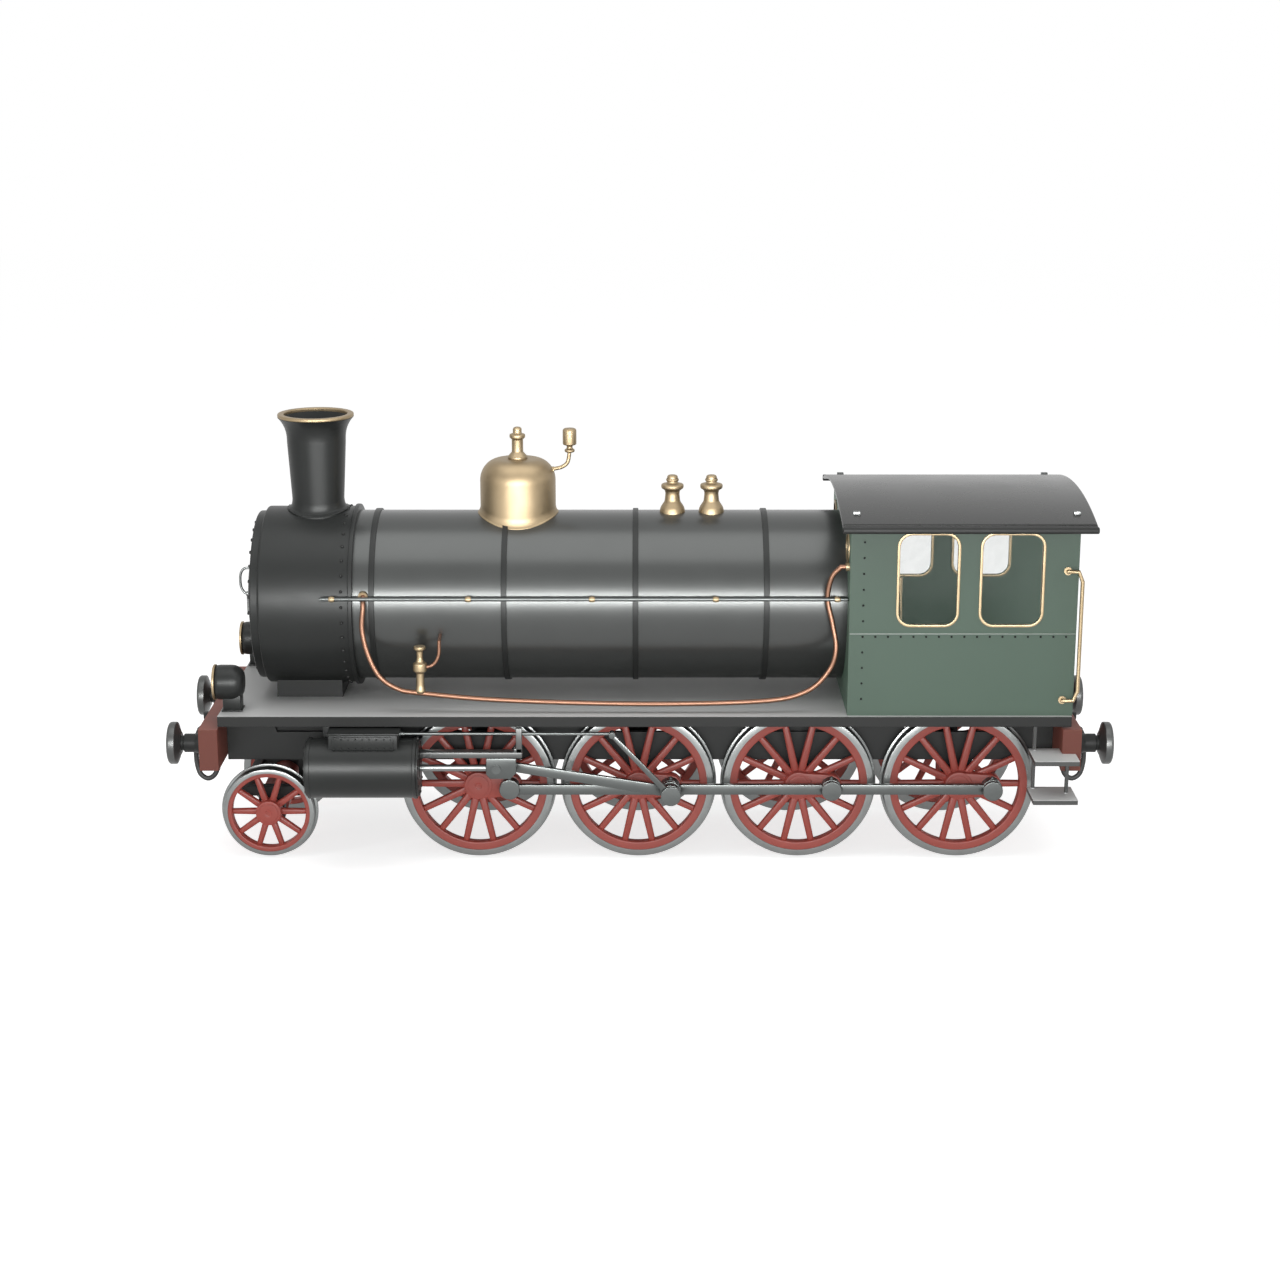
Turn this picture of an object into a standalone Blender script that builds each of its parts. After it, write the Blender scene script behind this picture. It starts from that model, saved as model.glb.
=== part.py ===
"""Steam locomotive, 2-8-0, for standard gauge track.

Metres, +Z up, z = 0 at the wheel flanges' lowest line. The front is at -X and the left side at -Y.
The left crank pins stand at the rear (+X), and the right ones a quarter turn on, at the top.
"""

import math

import bmesh
import bpy
from mathutils import Matrix, Vector

# Fits and overruns
SEAT = 0.0003            # gap that touching pieces keep
FIT = 0.0003             # radial clearance of a pin or journal in its bore
SIDE_PLAY = 0.005        # gap between a moving piece and its neighbour
OVERRUN = 0.05           # how far a cutter runs past what it cuts
EMBED = 0.006            # how deep a joined shape sinks into its carrier
MERGE = 0.00002          # points closer than this are one point
BRANCH_ANGLE = math.radians(40)

# Facets of round pieces
WHEEL_SIDES = 28
PONY_SIDES = 20
SHELL_SIDES = 32
TURNED_SIDES = 16
PIN_SIDES = 12
SMALL_SIDES = 8
ARC_STEPS = 3

# Driving wheels
FLANGE_R = 0.795
TREAD_R = 0.765
RIM_INNER_R = 0.622
FLANGE_WIDTH = 0.035
WHEEL_GAP = 0.04
WHEEL_BACK = 0.685       # half the distance between the flange backs
WHEEL_FACE = 0.815
HUB_R = 0.145
HUB_FACE = 0.850
SPOKES = 14
SPOKE_ROOT_WIDTH = 0.060
SPOKE_TIP_WIDTH = 0.054
SPOKE_INSET = 0.035      # from either wheel face to the spoke
THROW = 0.324
CRANK_R = 0.115
AXLE_R = 0.095
JOURNAL_END = 0.004      # how far an axle stands out of its hubs

# Pony wheels
PONY_FLANGE_R = 0.495
PONY_TREAD_R = 0.465
PONY_RIM_INNER_R = 0.375
PONY_HUB_R = 0.130
PONY_HUB_FACE = 0.835
PONY_SPOKES = 10
PONY_SPOKE_ROOT_WIDTH = 0.060
PONY_SPOKE_TIP_WIDTH = 0.050
PONY_DRUM_R = 0.160
PONY_DRUM_END = 0.440
PONY_JOURNAL_R = 0.085

# Stations along the locomotive
MID_WHEELBASE_X = 0.80
PONY_LEAD = 2.152        # pony axle ahead of the first driving axle
CYLINDER_LEAD = 0.555    # rear face of the cylinder ahead of the first driving axle
FRONT_OVERHANG = 0.423   # front beam's inner face ahead of the pony axle
REAR_OVERHANG = 0.975    # rear beam's inner face behind the last driving axle

# Planes of the motion, as distances from the middle
SIDE_ROD_IN = 0.915
SIDE_ROD_OUT = 0.975
MAIN_ROD_IN = 0.995
MAIN_ROD_OUT = 1.045
ECCENTRIC_IN = 1.145
ECCENTRIC_OUT = 1.175
CROSSHEAD_IN = 1.060
CROSSHEAD_OUT = 1.200
PIN_CAP = 0.012
MAIN_PIN_END = 1.192
PIN_R = 0.060
PIN_COLLAR_R = 0.100
SMALL_PIN_SHARE = 0.75
CRANK_SHARE = 0.9
SIDE_ROD_HALF = 0.0525
SIDE_EYE_R = 0.105
MAIN_EYE_R = 0.108
MAIN_SMALL_EYE_R = 0.068
MAIN_ROD_HALF = 0.058
MAIN_ROD_FRONT_HALF = 0.048
ECCENTRIC_EYE_R = 0.088
ECCENTRIC_TOP_R = 0.034
ECCENTRIC_HALF = 0.024

# Cylinders
CYLINDER_Y = 1.140
CYLINDER_Z = 1.085
CYLINDER_R = 0.315
CYLINDER_LENGTH = 1.150
COVER_R = 0.285
COVER_DEPTH = 0.030
PISTON_ROD_R = 0.035
BORE_STOP = 0.300        # solid metal left in front of the piston rod's bore
CHEST_FRONT = 0.250      # from the cylinder's front to the steam chest
CHEST_REAR = 0.210
CHEST_FOOT = 0.165       # chest's foot above the cylinder's axis, inside the barrel
CHEST_IN = 0.900
CHEST_OUT = 1.330
CHEST_TOP = 1.495
BRACKET_FRONT = 0.150
BRACKET_REAR = 0.270
BRACKET_TOP = 1.480
DEAD_CLEARANCE = 0.112   # crosshead pin to the cylinder at front dead centre

# Crosshead and slide bar
BLOCK_FRONT = 0.100
BLOCK_REAR = 0.200
BLOCK_HALF = 0.100
BLOCK_NOSE = 0.060
PISTON_ROD_LENGTH = 0.910
BAR_BOTTOM = 1.200
BAR_TOP = 1.260
BAR_INSET = 0.010
BAR_REAR = 0.260         # from the crosshead pin at rear dead centre
HANGER_LENGTH = 0.060
HANGER_IN = 1.125

# Valve rods
VALVE_ROD_Y = 1.100
VALVE_ROD_Z = 1.430
VALVE_ROD_R = 0.018
VALVE_ROD_REACH = 0.587  # its rear end ahead of the left main crank pin
VALVE_GLAND_R = 0.032
VALVE_GLAND_LENGTH = 0.050

# Main frames
FRAME_IN = 0.560
FRAME_OUT = 0.620
FRAME_BOTTOM = 1.005
FRAME_TOP = 1.300
HORN_HALF = 0.160
HORN_BOTTOM = 0.640
BOX_IN = 0.480
BOX_OUT = 0.645
BOX_HALF = 0.125
BOX_BOTTOM = 0.655
BOX_TOP = 0.960
HUMP_TOP_HALF = 0.090
HUMP_FOOT_HALF = 0.300
END_HUMP = 0.420

# Pony truck and its pivot
PIVOT_LEAD = 0.975       # pivot ahead of the first driving axle
PIVOT_STRETCHER_HALF = 0.100
PIVOT_STRETCHER_TOP = 1.250
PIVOT_PIN_R = 0.050
PIVOT_EYE_R = 0.110
PIVOT_NUT_R = 0.080
PIVOT_NUT_DEPTH = 0.035
TRUCK_BOTTOM = 0.600
TRUCK_TOP = 0.700
TRUCK_ARM_HALF = 0.070
TRUCK_BAR_HALF = 0.045
TRUCK_BAR_GAP = 0.060    # from the axle drum to the truck's cross bars
TRUCK_SIDE_IN = 0.480
TRUCK_SIDE_OUT = 0.580
TRUCK_BOX_HALF = 0.130
TRUCK_BOX_BOTTOM = 0.360
BOLSTER_LENGTH = 0.120
BOLSTER_HALF = 0.160
BOLSTER_CLEARANCE = 0.015

# Footplate
PLATE_TOP = 1.616
PLATE_THICK = 0.014
PLATE_HALF = 1.130
VALANCE_THICK = 0.030
VALANCE_BOTTOM = 1.510
PLATE_FRONT_GAP = 0.001
PLATE_REAR_REACH = 0.090

# Buffer beams, buffers, hooks and hoses
BEAM_THICK = 0.190
BEAM_HALF = 1.180
BEAM_BOTTOM = 1.065
BEAM_TOP = 1.494
BUFFER_Y = 0.860
BUFFER_Z = 1.260
BUFFER_COLLAR_R = 0.130
BUFFER_COLLAR_LENGTH = 0.045
BUFFER_SHANK_R = 0.095
BUFFER_NECK_R = 0.120
BUFFER_HEAD_R = 0.215
BUFFER_SHANK_LENGTH = 0.228
BUFFER_FLARE = 0.045
BUFFER_HEAD_LENGTH = 0.137
BUFFER_EDGE = 0.020
HOOK_HALF_WIDTH = 0.025
HOOK_SHANK_HALF = 0.035
HOOK_REACH = 0.110
HOOK_RISE = 0.070
HOOK_TIP = 0.045
HOOK_PLATE_HALF = 0.110
HOOK_PLATE_THICK = 0.015
HOSE_Y = -0.200
HOSE_R = 0.026
HOSE_ROUTE = (           # distance out from the beam's face and height
    (0.070, 1.240), (0.150, 1.215), (0.200, 1.120), (0.215, 0.960), (0.212, 0.830), (0.180, 0.715),
    (0.105, 0.665), (0.030, 0.710), (-0.010, 0.820), (-0.030, 0.960))

# Boiler
BOILER_Z = 2.603
BOILER_R = 0.867
BOILER_FRONT_X = -2.870
BOILER_REAR_X = 2.350
BAND_RISE = 0.020
BAND_WIDTH = 0.050
BAND_X = (-2.680, -1.360, -0.045, 1.265)
BACKHEAD_BEVEL = 0.060

# Smokebox and its door
SMOKEBOX_R = 0.908
SMOKEBOX_LENGTH = 0.940
SMOKEBOX_WALL = 0.038
SMOKEBOX_FLANGE_RISE = 0.022
SMOKEBOX_FLANGE_WIDTH = 0.080
TUBEPLATE_THICK = 0.060
RING_STEP = 0.048        # from the drum's surface in to the ring's
RING_DEPTH = 0.090
RING_THICK = 0.070
DOORWAY_R = 0.550
DOOR_R = 0.600
DOOR_RIM = 0.020
DOOR_DISH = 0.080
HINGE_Y = 0.670
HINGE_OUT = 0.055        # hinge pin ahead of the ring's face
HINGE_PIN_R = 0.018
HINGE_EYE_R = 0.040
STRAP_HALF = 0.030
STRAP_Z = 0.260
STRAP_THICK = 0.022
STRAP_REACH = 0.350
LUG_HALF = 0.020
LUG_GAP = 0.006
DART_R = 0.045
DART_LENGTH = 0.060
HANDLE_R = 0.012
HANDLE_LENGTH = 0.210
HANDLE_OUT = 0.030

# Saddle and firebox
SADDLE_FRONT_X = -3.720
SADDLE_REAR_X = -3.050
SADDLE_HALF = 0.410
FIREBOX_FRONT_X = 0.750
FIREBOX_REAR_X = 2.330

# Chimney
CHIMNEY_LEAD = 0.415     # ahead of the barrel's front
CHIMNEY_SKIRT_R = 0.340
CHIMNEY_SKIRT_RISE = 0.030
CHIMNEY_FOOT_R = 0.270
CHIMNEY_FOOT_RISE = 0.140
CHIMNEY_NECK_R = 0.297
CHIMNEY_NECK_Z = 4.200
CHIMNEY_LIP_R = 0.385
CHIMNEY_LIP_Z = 4.450
CHIMNEY_TOP_Z = 4.486
CHIMNEY_BORE_R = 0.225
CHIMNEY_MOUTH_R = 0.320
CHIMNEY_LIP_SHARES = ((0.30, 0.06), (0.62, 0.26), (0.88, 0.66))

# Steam dome, its valve and the whistle
DOME_X = -1.245
DOME_R = 0.385
DOME_BASE_R = 0.405
DOME_BASE_RISE = 0.060
DOME_SHOULDER_Z = 3.800
DOME_TOP_Z = 4.020
DOME_ROUND_R = 0.200
DOME_VALVE = ((0.100, 4.020), (0.100, 4.045), (0.058, 4.090), (0.058, 4.220), (0.080, 4.235),
              (0.080, 4.270), (0.045, 4.280), (0.045, 4.330), (0.025, 4.345))
WHISTLE_X = -0.715
WHISTLE = ((0.030, 4.080), (0.052, 4.090), (0.052, 4.112), (0.030, 4.125), (0.030, 4.150),
           (0.070, 4.165), (0.070, 4.315), (0.055, 4.330))
WHISTLE_PIPE_R = 0.020
WHISTLE_PIPE = ((-0.950, 3.900), (-0.860, 3.915), (-0.790, 3.935), (-0.735, 3.985), (-0.715, 4.100))

# Safety valves, as radius and height above the shell
SAFETY_X = (0.331, 0.729)
SAFETY_TURN = ((0.130, 0.010), (0.120, 0.050), (0.080, 0.110), (0.072, 0.190), (0.080, 0.225),
               (0.115, 0.245), (0.115, 0.285), (0.055, 0.300), (0.055, 0.365), (0.040, 0.380))

# Boiler handrails
RAIL_Y = 0.970
RAIL_Z = 2.783
RAIL_R = 0.020
RAIL_LEAD = 0.310        # rail's end ahead of the barrel's front
FIRST_KNOB_LEAD = 0.190
BARREL_KNOB_X = (-1.705, -0.476, 0.753, 1.960)
KNOB_R = 0.032
STANCHION_R = 0.016

# Feed pipes, routed over the left side by points
PIPE_R = 0.026
PIPE_ROUTE = (
    (-2.760, -0.830, 2.790), (-2.758, -0.900, 2.770), (-2.755, -0.945, 2.680), (-2.767, -0.960, 2.467),
    (-2.712, -0.980, 2.215), (-2.597, -1.000, 1.992), (-2.420, -1.000, 1.868), (-2.201, -1.000, 1.826),
    (-1.402, -1.000, 1.753), (0.000, -1.000, 1.712), (1.202, -1.000, 1.740), (1.651, -1.000, 1.836),
    (1.877, -1.000, 2.044), (1.952, -1.000, 2.272), (1.918, -0.950, 2.524), (1.865, -0.912, 2.775),
    (1.901, -0.930, 2.997), (1.990, -0.950, 3.110))
PIPE_STEPS = 2
CHECK_X = -2.195
CHECK_TURN = ((0.040, 1.826), (0.052, 1.850), (0.040, 1.905), (0.040, 2.035), (0.070, 2.060),
              (0.070, 2.135), (0.042, 2.150), (0.032, 2.190), (0.032, 2.265), (0.060, 2.280),
              (0.060, 2.312))
CHECK_PIPE_R = 0.018
CHECK_PIPE = ((-2.195, 2.098), (-2.110, 2.100), (-2.045, 2.140), (-2.005, 2.230), (-2.000, 2.365))

# Lamps
LAMP_Y = 0.860
LAMP_Z = 1.900
LAMP_FRONT_X = -4.283
LAMP_LENGTH = 0.303
LAMP_R = 0.180
LAMP_GLASS_R = 0.150
LAMP_GLASS_DEPTH = 0.020
LAMP_BACK_R = 0.120
LAMP_BACK_ROUND = 0.080
LAMP_BASE_FRONT = 0.093
LAMP_BASE_LENGTH = 0.180
LAMP_BASE_HALF = 0.090

# Cab
CAB_FRONT_X = 2.070
CAB_REAR_X = 4.320
CAB_HALF = 1.085
CAB_WALL = 0.030
WINDOW_X = ((2.555, 3.125), (3.370, 3.960))
WINDOW_BOTTOM = 2.555
WINDOW_TOP = 3.460
WINDOW_CORNER_R = 0.120
SPECTACLE_INSET = 0.295  # window's centre in from the cab's side
SPECTACLE_R = 0.130
SPECTACLE_GAP = 0.037    # from the window to the barrel
ROOF_CROWN_Z = 3.760
ROOF_EAVE_Z = 3.580
ROOF_HALF = 1.330
ROOF_THICK = 0.040
ROOF_FRONT_X = 1.966
ROOF_REAR_X = 4.451
ROOF_STEPS = 12
EAVE_R = 0.034
ROOF_LUG_Y = 1.000
ROOF_LUG_INSET = 0.160
ROOF_LUG_HALF = 0.030
ROOF_LUG_RISE = 0.030
GRAB_R = 0.018
GRAB_OUT = 0.040
GRAB_BACK = 0.032
GRAB_LOW_Z = 1.780
GRAB_HIGH_Z = 3.100
GRAB_BEND = 0.100
GRAB_REACH = 0.110

# Cab steps
STEP_FRONT_X = 3.910
STEP_REAR_X = 4.355
STEP_OUT = 1.430
STEP_THICK = 0.050
STEP_UPPER_Z = 1.245
STEP_LOWER_Z = 0.840
STEP_IN = 1.000
STEP_POST = 0.035
STEP_POST_IN = 1.025
STEP_POST_FRONT = 0.035

# Colours, roughness and metallic value of each material
FINISHES = {
    "boiler_black": ((0.045, 0.047, 0.045), 0.38, 0.0),
    "frame_black": ((0.040, 0.042, 0.040), 0.55, 0.0),
    "footplate_grey": ((0.150, 0.150, 0.145), 0.60, 0.0),
    "cab_green": ((0.135, 0.200, 0.155), 0.50, 0.0),
    "wheel_red": ((0.360, 0.095, 0.080), 0.50, 0.0),
    "beam_red": ((0.240, 0.075, 0.055), 0.55, 0.0),
    "steel": ((0.250, 0.260, 0.265), 0.35, 1.0),
    "brass": ((0.600, 0.450, 0.210), 0.30, 1.0),
    "copper": ((0.520, 0.240, 0.150), 0.32, 1.0),
    "rubber": ((0.030, 0.030, 0.030), 0.80, 0.0),
    "step_grey": ((0.300, 0.310, 0.310), 0.60, 0.0),
}

# Places that follow from the sizes above
AXLE_Z = FLANGE_R
SPACING = FLANGE_R + FLANGE_R + WHEEL_GAP
AXLE_SHARES = (-1.5, -0.5, 0.5, 1.5)
AXLE_X = tuple(MID_WHEELBASE_X + share * SPACING for share in AXLE_SHARES)
PONY_X = AXLE_X[0] - PONY_LEAD
PONY_Z = PONY_FLANGE_R
PIVOT_X = AXLE_X[0] - PIVOT_LEAD
CYLINDER_REAR_X = AXLE_X[0] - CYLINDER_LEAD
CYLINDER_FRONT_X = CYLINDER_REAR_X - CYLINDER_LENGTH
FRONT_BEAM_X = PONY_X - FRONT_OVERHANG
REAR_BEAM_X = AXLE_X[3] + REAR_OVERHANG
DEAD_X = CYLINDER_REAR_X + DEAD_CLEARANCE
RISE = CYLINDER_Z - AXLE_Z
MAIN_ROD_LENGTH = math.hypot(AXLE_X[1] - THROW - DEAD_X, RISE)
PLATE_BOTTOM = PLATE_TOP - PLATE_THICK
CHIMNEY_X = BOILER_FRONT_X - CHIMNEY_LEAD
SMOKEBOX_FRONT_X = BOILER_FRONT_X - SMOKEBOX_LENGTH
SMOKEBOX_FLANGE_R = SMOKEBOX_R + SMOKEBOX_FLANGE_RISE
RING_R = SMOKEBOX_R - RING_STEP
RAIL_FRONT_X = BOILER_FRONT_X - RAIL_LEAD
KNOB_X = (BOILER_FRONT_X - FIRST_KNOB_LEAD, *BARREL_KNOB_X)
RING_FRONT_X = SMOKEBOX_FRONT_X - RING_DEPTH
HINGE_X = RING_FRONT_X - HINGE_OUT
SPECTACLE_Y = CAB_HALF - SPECTACLE_INSET
SPECTACLE_Z = BOILER_Z + math.sqrt((BOILER_R + SPECTACLE_GAP + SPECTACLE_R) ** 2 - SPECTACLE_Y ** 2)
ROOF_DROP = ROOF_CROWN_Z - ROOF_EAVE_Z
ROOF_R = (ROOF_HALF ** 2 + ROOF_DROP ** 2) / (ROOF_DROP + ROOF_DROP)


# Scene, materials and bodies


def clear_scene():
    """Remove every object of the open scene."""
    for item in list(bpy.data.objects):
        bpy.data.objects.remove(item, do_unlink=True)


def finish_material(name):
    """Return the Principled material of a finish, made once."""
    found = bpy.data.materials.get(name)
    if found:
        return found
    colour, roughness, metallic = FINISHES[name]
    made = bpy.data.materials.new(name)
    made.use_nodes = True
    shader = made.node_tree.nodes["Principled BSDF"]
    shader.inputs["Base Color"].default_value = (*colour, 1.0)
    shader.inputs["Roughness"].default_value = roughness
    shader.inputs["Metallic"].default_value = metallic
    return made


def add_body(name, point, parent=None):
    """Add the empty that a body's pieces hang on, at its joint's axis."""
    body = bpy.data.objects.new(name, None)
    bpy.context.collection.objects.link(body)
    body["point"] = point
    start = Vector(parent["point"]) if parent else Vector()
    body.parent = parent
    body.location = Vector(point) - start
    return body


def place(item, name, finish, body):
    """Name a finished piece, dress it and hang it on its body with its origin on the body's axis."""
    point = Vector(body["point"])
    item.data.transform(item.matrix_basis)
    item.data.transform(Matrix.Translation(-point))
    item.matrix_basis = Matrix.Identity(4)
    item.parent = body
    item.name = name
    item.data.name = name
    item.data.materials.clear()
    item.data.materials.append(finish_material(finish))
    item.data.shade_smooth()
    item.data.set_sharp_from_angle(angle=BRANCH_ANGLE)
    return item


def place_pair(item, name, finish, body):
    """Place a left piece and its mirror image on the right."""
    twin = mirrored(item)
    place(item, name + "_left", finish, body)
    place(twin, name + "_right", finish, body)


# Shapes


def link_mesh(bm):
    """Turn a bmesh into a linked object with its faces pointing out."""
    bmesh.ops.remove_doubles(bm, verts=bm.verts[:], dist=MERGE)
    bmesh.ops.recalc_face_normals(bm, faces=bm.faces[:])
    mesh = bpy.data.meshes.new("shape")
    bm.to_mesh(mesh)
    bm.free()
    item = bpy.data.objects.new("shape", mesh)
    bpy.context.collection.objects.link(item)
    return item


def around(radius, sides):
    """Corner radius of a polygon whose flats lie at the given radius."""
    return radius / math.cos(math.pi / sides)


def axis_matrix(axis, centre):
    """Matrix that turns +Z onto an axis letter or direction and moves to a centre."""
    if axis == "Y":
        turn = Matrix.Rotation(-math.pi / 2, 4, "X")
    elif axis == "X":
        turn = Matrix.Rotation(math.pi / 2, 4, "Y")
    elif axis == "Z":
        turn = Matrix.Identity(4)
    else:
        turn = Vector(axis).to_track_quat("Z", "Y").to_matrix().to_4x4()
    return Matrix.Translation(Vector(centre)) @ turn


def turned(profile, axis, centre, sides, ring=False, half_step=False):
    """Spin a profile of (radius, along) points about an axis; a ring's profile is a closed loop."""
    bm = bmesh.new()
    points = [bm.verts.new((radius, 0.0, along)) for radius, along in profile]
    edges = [bm.edges.new(pair) for pair in zip(points, points[1:])]
    if ring:
        edges.append(bm.edges.new((points[-1], points[0])))
    bmesh.ops.spin(bm, geom=points + edges, cent=(0, 0, 0), axis=(0, 0, 1), dvec=(0, 0, 0),
                   angle=math.tau, steps=sides, use_merge=True, use_duplicate=False)
    if half_step:
        bmesh.ops.rotate(bm, verts=bm.verts[:], cent=(0, 0, 0),
                         matrix=Matrix.Rotation(math.pi / sides, 3, "Z"))
    bm.transform(axis_matrix(axis, centre))
    return link_mesh(bm)


def cylinder(radius, low, high, axis, centre, sides, half_step=False):
    """Solid cylinder from low to high along an axis through a centre."""
    profile = [(0, low), (radius, low), (radius, high), (0, high)]
    return turned(profile, axis, centre, sides, half_step=half_step)


def bore(radius, low, high, axis, centre, sides):
    """Cutter whose flats clear a round piece of the given radius, half a step turned."""
    return cylinder(around(radius + FIT, sides), low, high, axis, centre, sides, half_step=True)


def bar_between(start, end, radius, sides):
    """Round bar between two points."""
    line = Vector(end) - Vector(start)
    return cylinder(radius, 0, line.length, line, start, sides)


def box(x_range, y_range, z_range):
    """Block between two corners, given as a (low, high) pair on each axis."""
    ranges = (x_range, y_range, z_range)
    bm = bmesh.new()
    bmesh.ops.create_cube(bm, size=1)
    size = Matrix.Diagonal([high - low for low, high in ranges] + [1])
    middle = Vector([(high + low) / 2 for low, high in ranges])
    bm.transform(Matrix.Translation(middle) @ size)
    return link_mesh(bm)


def prism(outline, axis, low, high):
    """Extrude an outline along an axis; its points are (x, z) for Y, (y, z) for X and (x, y) for Z."""
    spread = {"X": lambda a, b: (low, a, b), "Y": lambda a, b: (a, low, b), "Z": lambda a, b: (a, b, low)}
    shift = {"X": (high - low, 0, 0), "Y": (0, high - low, 0), "Z": (0, 0, high - low)}
    bm = bmesh.new()
    face = bm.faces.new([bm.verts.new(spread[axis](a, b)) for a, b in outline])
    grown = bmesh.ops.extrude_face_region(bm, geom=[face])
    moved = [part for part in grown["geom"] if isinstance(part, bmesh.types.BMVert)]
    bmesh.ops.translate(bm, verts=moved, vec=shift[axis])
    return link_mesh(bm)


def smooth_route(points, steps):
    """Points along a smooth curve that passes through a route's points."""
    route = [Vector(point) for point in points]
    padded = [route[0] * 2 - route[1]] + route + [route[-1] * 2 - route[-2]]
    curve = []
    for before, start, end, after in zip(padded, padded[1:], padded[2:], padded[3:]):
        for step in range(steps):
            t = step / steps
            curve.append((start * 2 + (end - before) * t
                          + (before * 2 - start * 5 + end * 4 - after) * t ** 2
                          + (start * 3 - before - end * 3 + after) * t ** 3) / 2)
    return curve + [route[-1]]


def tube(points, radius, resolution):
    """Round tube along points, as a closed mesh."""
    curve = bpy.data.curves.new("tube", "CURVE")
    curve.dimensions = "3D"
    curve.bevel_depth = radius
    curve.bevel_resolution = resolution
    curve.use_fill_caps = True
    spline = curve.splines.new("POLY")
    spline.points.add(len(points) - 1)
    for slot, point in zip(spline.points, points):
        slot.co = (*point, 1)
    guide = bpy.data.objects.new("tube", curve)
    bpy.context.collection.objects.link(guide)
    shaped = guide.evaluated_get(bpy.context.evaluated_depsgraph_get())
    mesh = bpy.data.meshes.new_from_object(shaped)
    bm = bmesh.new()
    bm.from_mesh(mesh)
    bpy.data.objects.remove(guide, do_unlink=True)
    bpy.data.meshes.remove(mesh)
    return link_mesh(bm)


def rod_outline(eyes, start_half, end_half, steps):
    """Side view of a rod along +X: round eyes at (along, radius), joined by a tapering bar."""
    first, last = eyes[0][0], eyes[-1][0]
    upper = []
    for index, (along, radius) in enumerate(eyes):
        half = start_half + (end_half - start_half) * (along - first) / (last - first)
        dip = math.asin(half / radius)
        start = math.pi if index == 0 else math.pi - dip
        end = 0 if index == len(eyes) - 1 else dip
        for step in range(steps + 1):
            angle = start + (end - start) * step / steps
            upper.append((along + radius * math.cos(angle), radius * math.sin(angle)))
    lower = [(a, -b) for a, b in reversed(upper[1:-1])]
    return upper + lower


def moved(item, matrix):
    """Transform a piece's mesh and return the piece."""
    item.data.transform(matrix)
    return item


def mirrored(item):
    """Mirror image of a left piece, on the right."""
    bm = bmesh.new()
    bm.from_mesh(item.data)
    bm.transform(Matrix.Scale(-1, 4, (0, 1, 0)))
    bmesh.ops.reverse_faces(bm, faces=bm.faces[:])
    return link_mesh(bm)


def combine(base, tools, operation):
    """Apply Boolean steps to a base shape and remove the tools."""
    for tool in tools:
        step = base.modifiers.new(operation.title(), "BOOLEAN")
        step.operation = operation
        step.object = tool
    shaped = base.evaluated_get(bpy.context.evaluated_depsgraph_get())
    mesh = bpy.data.meshes.new_from_object(shaped)
    base.modifiers.clear()
    base.data = mesh
    for tool in tools:
        bpy.data.objects.remove(tool, do_unlink=True)
    return base


def fuse(base, *tools):
    """Union of shapes as one body."""
    return combine(base, tools, "UNION")


def cut(base, *tools):
    """A shape less its cutters."""
    return combine(base, tools, "DIFFERENCE")


# Boiler, smokebox and what stands on them


def boiler_shape(clearance=0.0):
    """Barrel with its bands; a clearance makes the cutter for what seats on it."""
    radius = BOILER_R + clearance
    crest = radius + BAND_RISE
    half = BAND_WIDTH / 2 + clearance
    profile = [(0, BOILER_FRONT_X + SEAT - clearance), (radius, BOILER_FRONT_X + SEAT - clearance)]
    for x in BAND_X:
        profile += [(radius, x - half), (crest, x), (radius, x + half)]
    rear = BOILER_REAR_X + clearance
    profile += [(radius, BOILER_REAR_X - BACKHEAD_BEVEL), (radius - BACKHEAD_BEVEL, rear), (0, rear)]
    return turned(profile, "X", (0, 0, BOILER_Z), SHELL_SIDES)


def smokebox_cutter():
    """Cutter for what seats on the smokebox."""
    flange = BOILER_FRONT_X - SMOKEBOX_FLANGE_WIDTH - SEAT
    profile = [(0, SMOKEBOX_FRONT_X - SEAT), (SMOKEBOX_R + SEAT, SMOKEBOX_FRONT_X - SEAT),
               (SMOKEBOX_R + SEAT, flange), (SMOKEBOX_FLANGE_R + SEAT, flange),
               (SMOKEBOX_FLANGE_R + SEAT, BOILER_FRONT_X + SEAT), (0, BOILER_FRONT_X + SEAT)]
    return turned(profile, "X", (0, 0, BOILER_Z), SHELL_SIDES)


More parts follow.
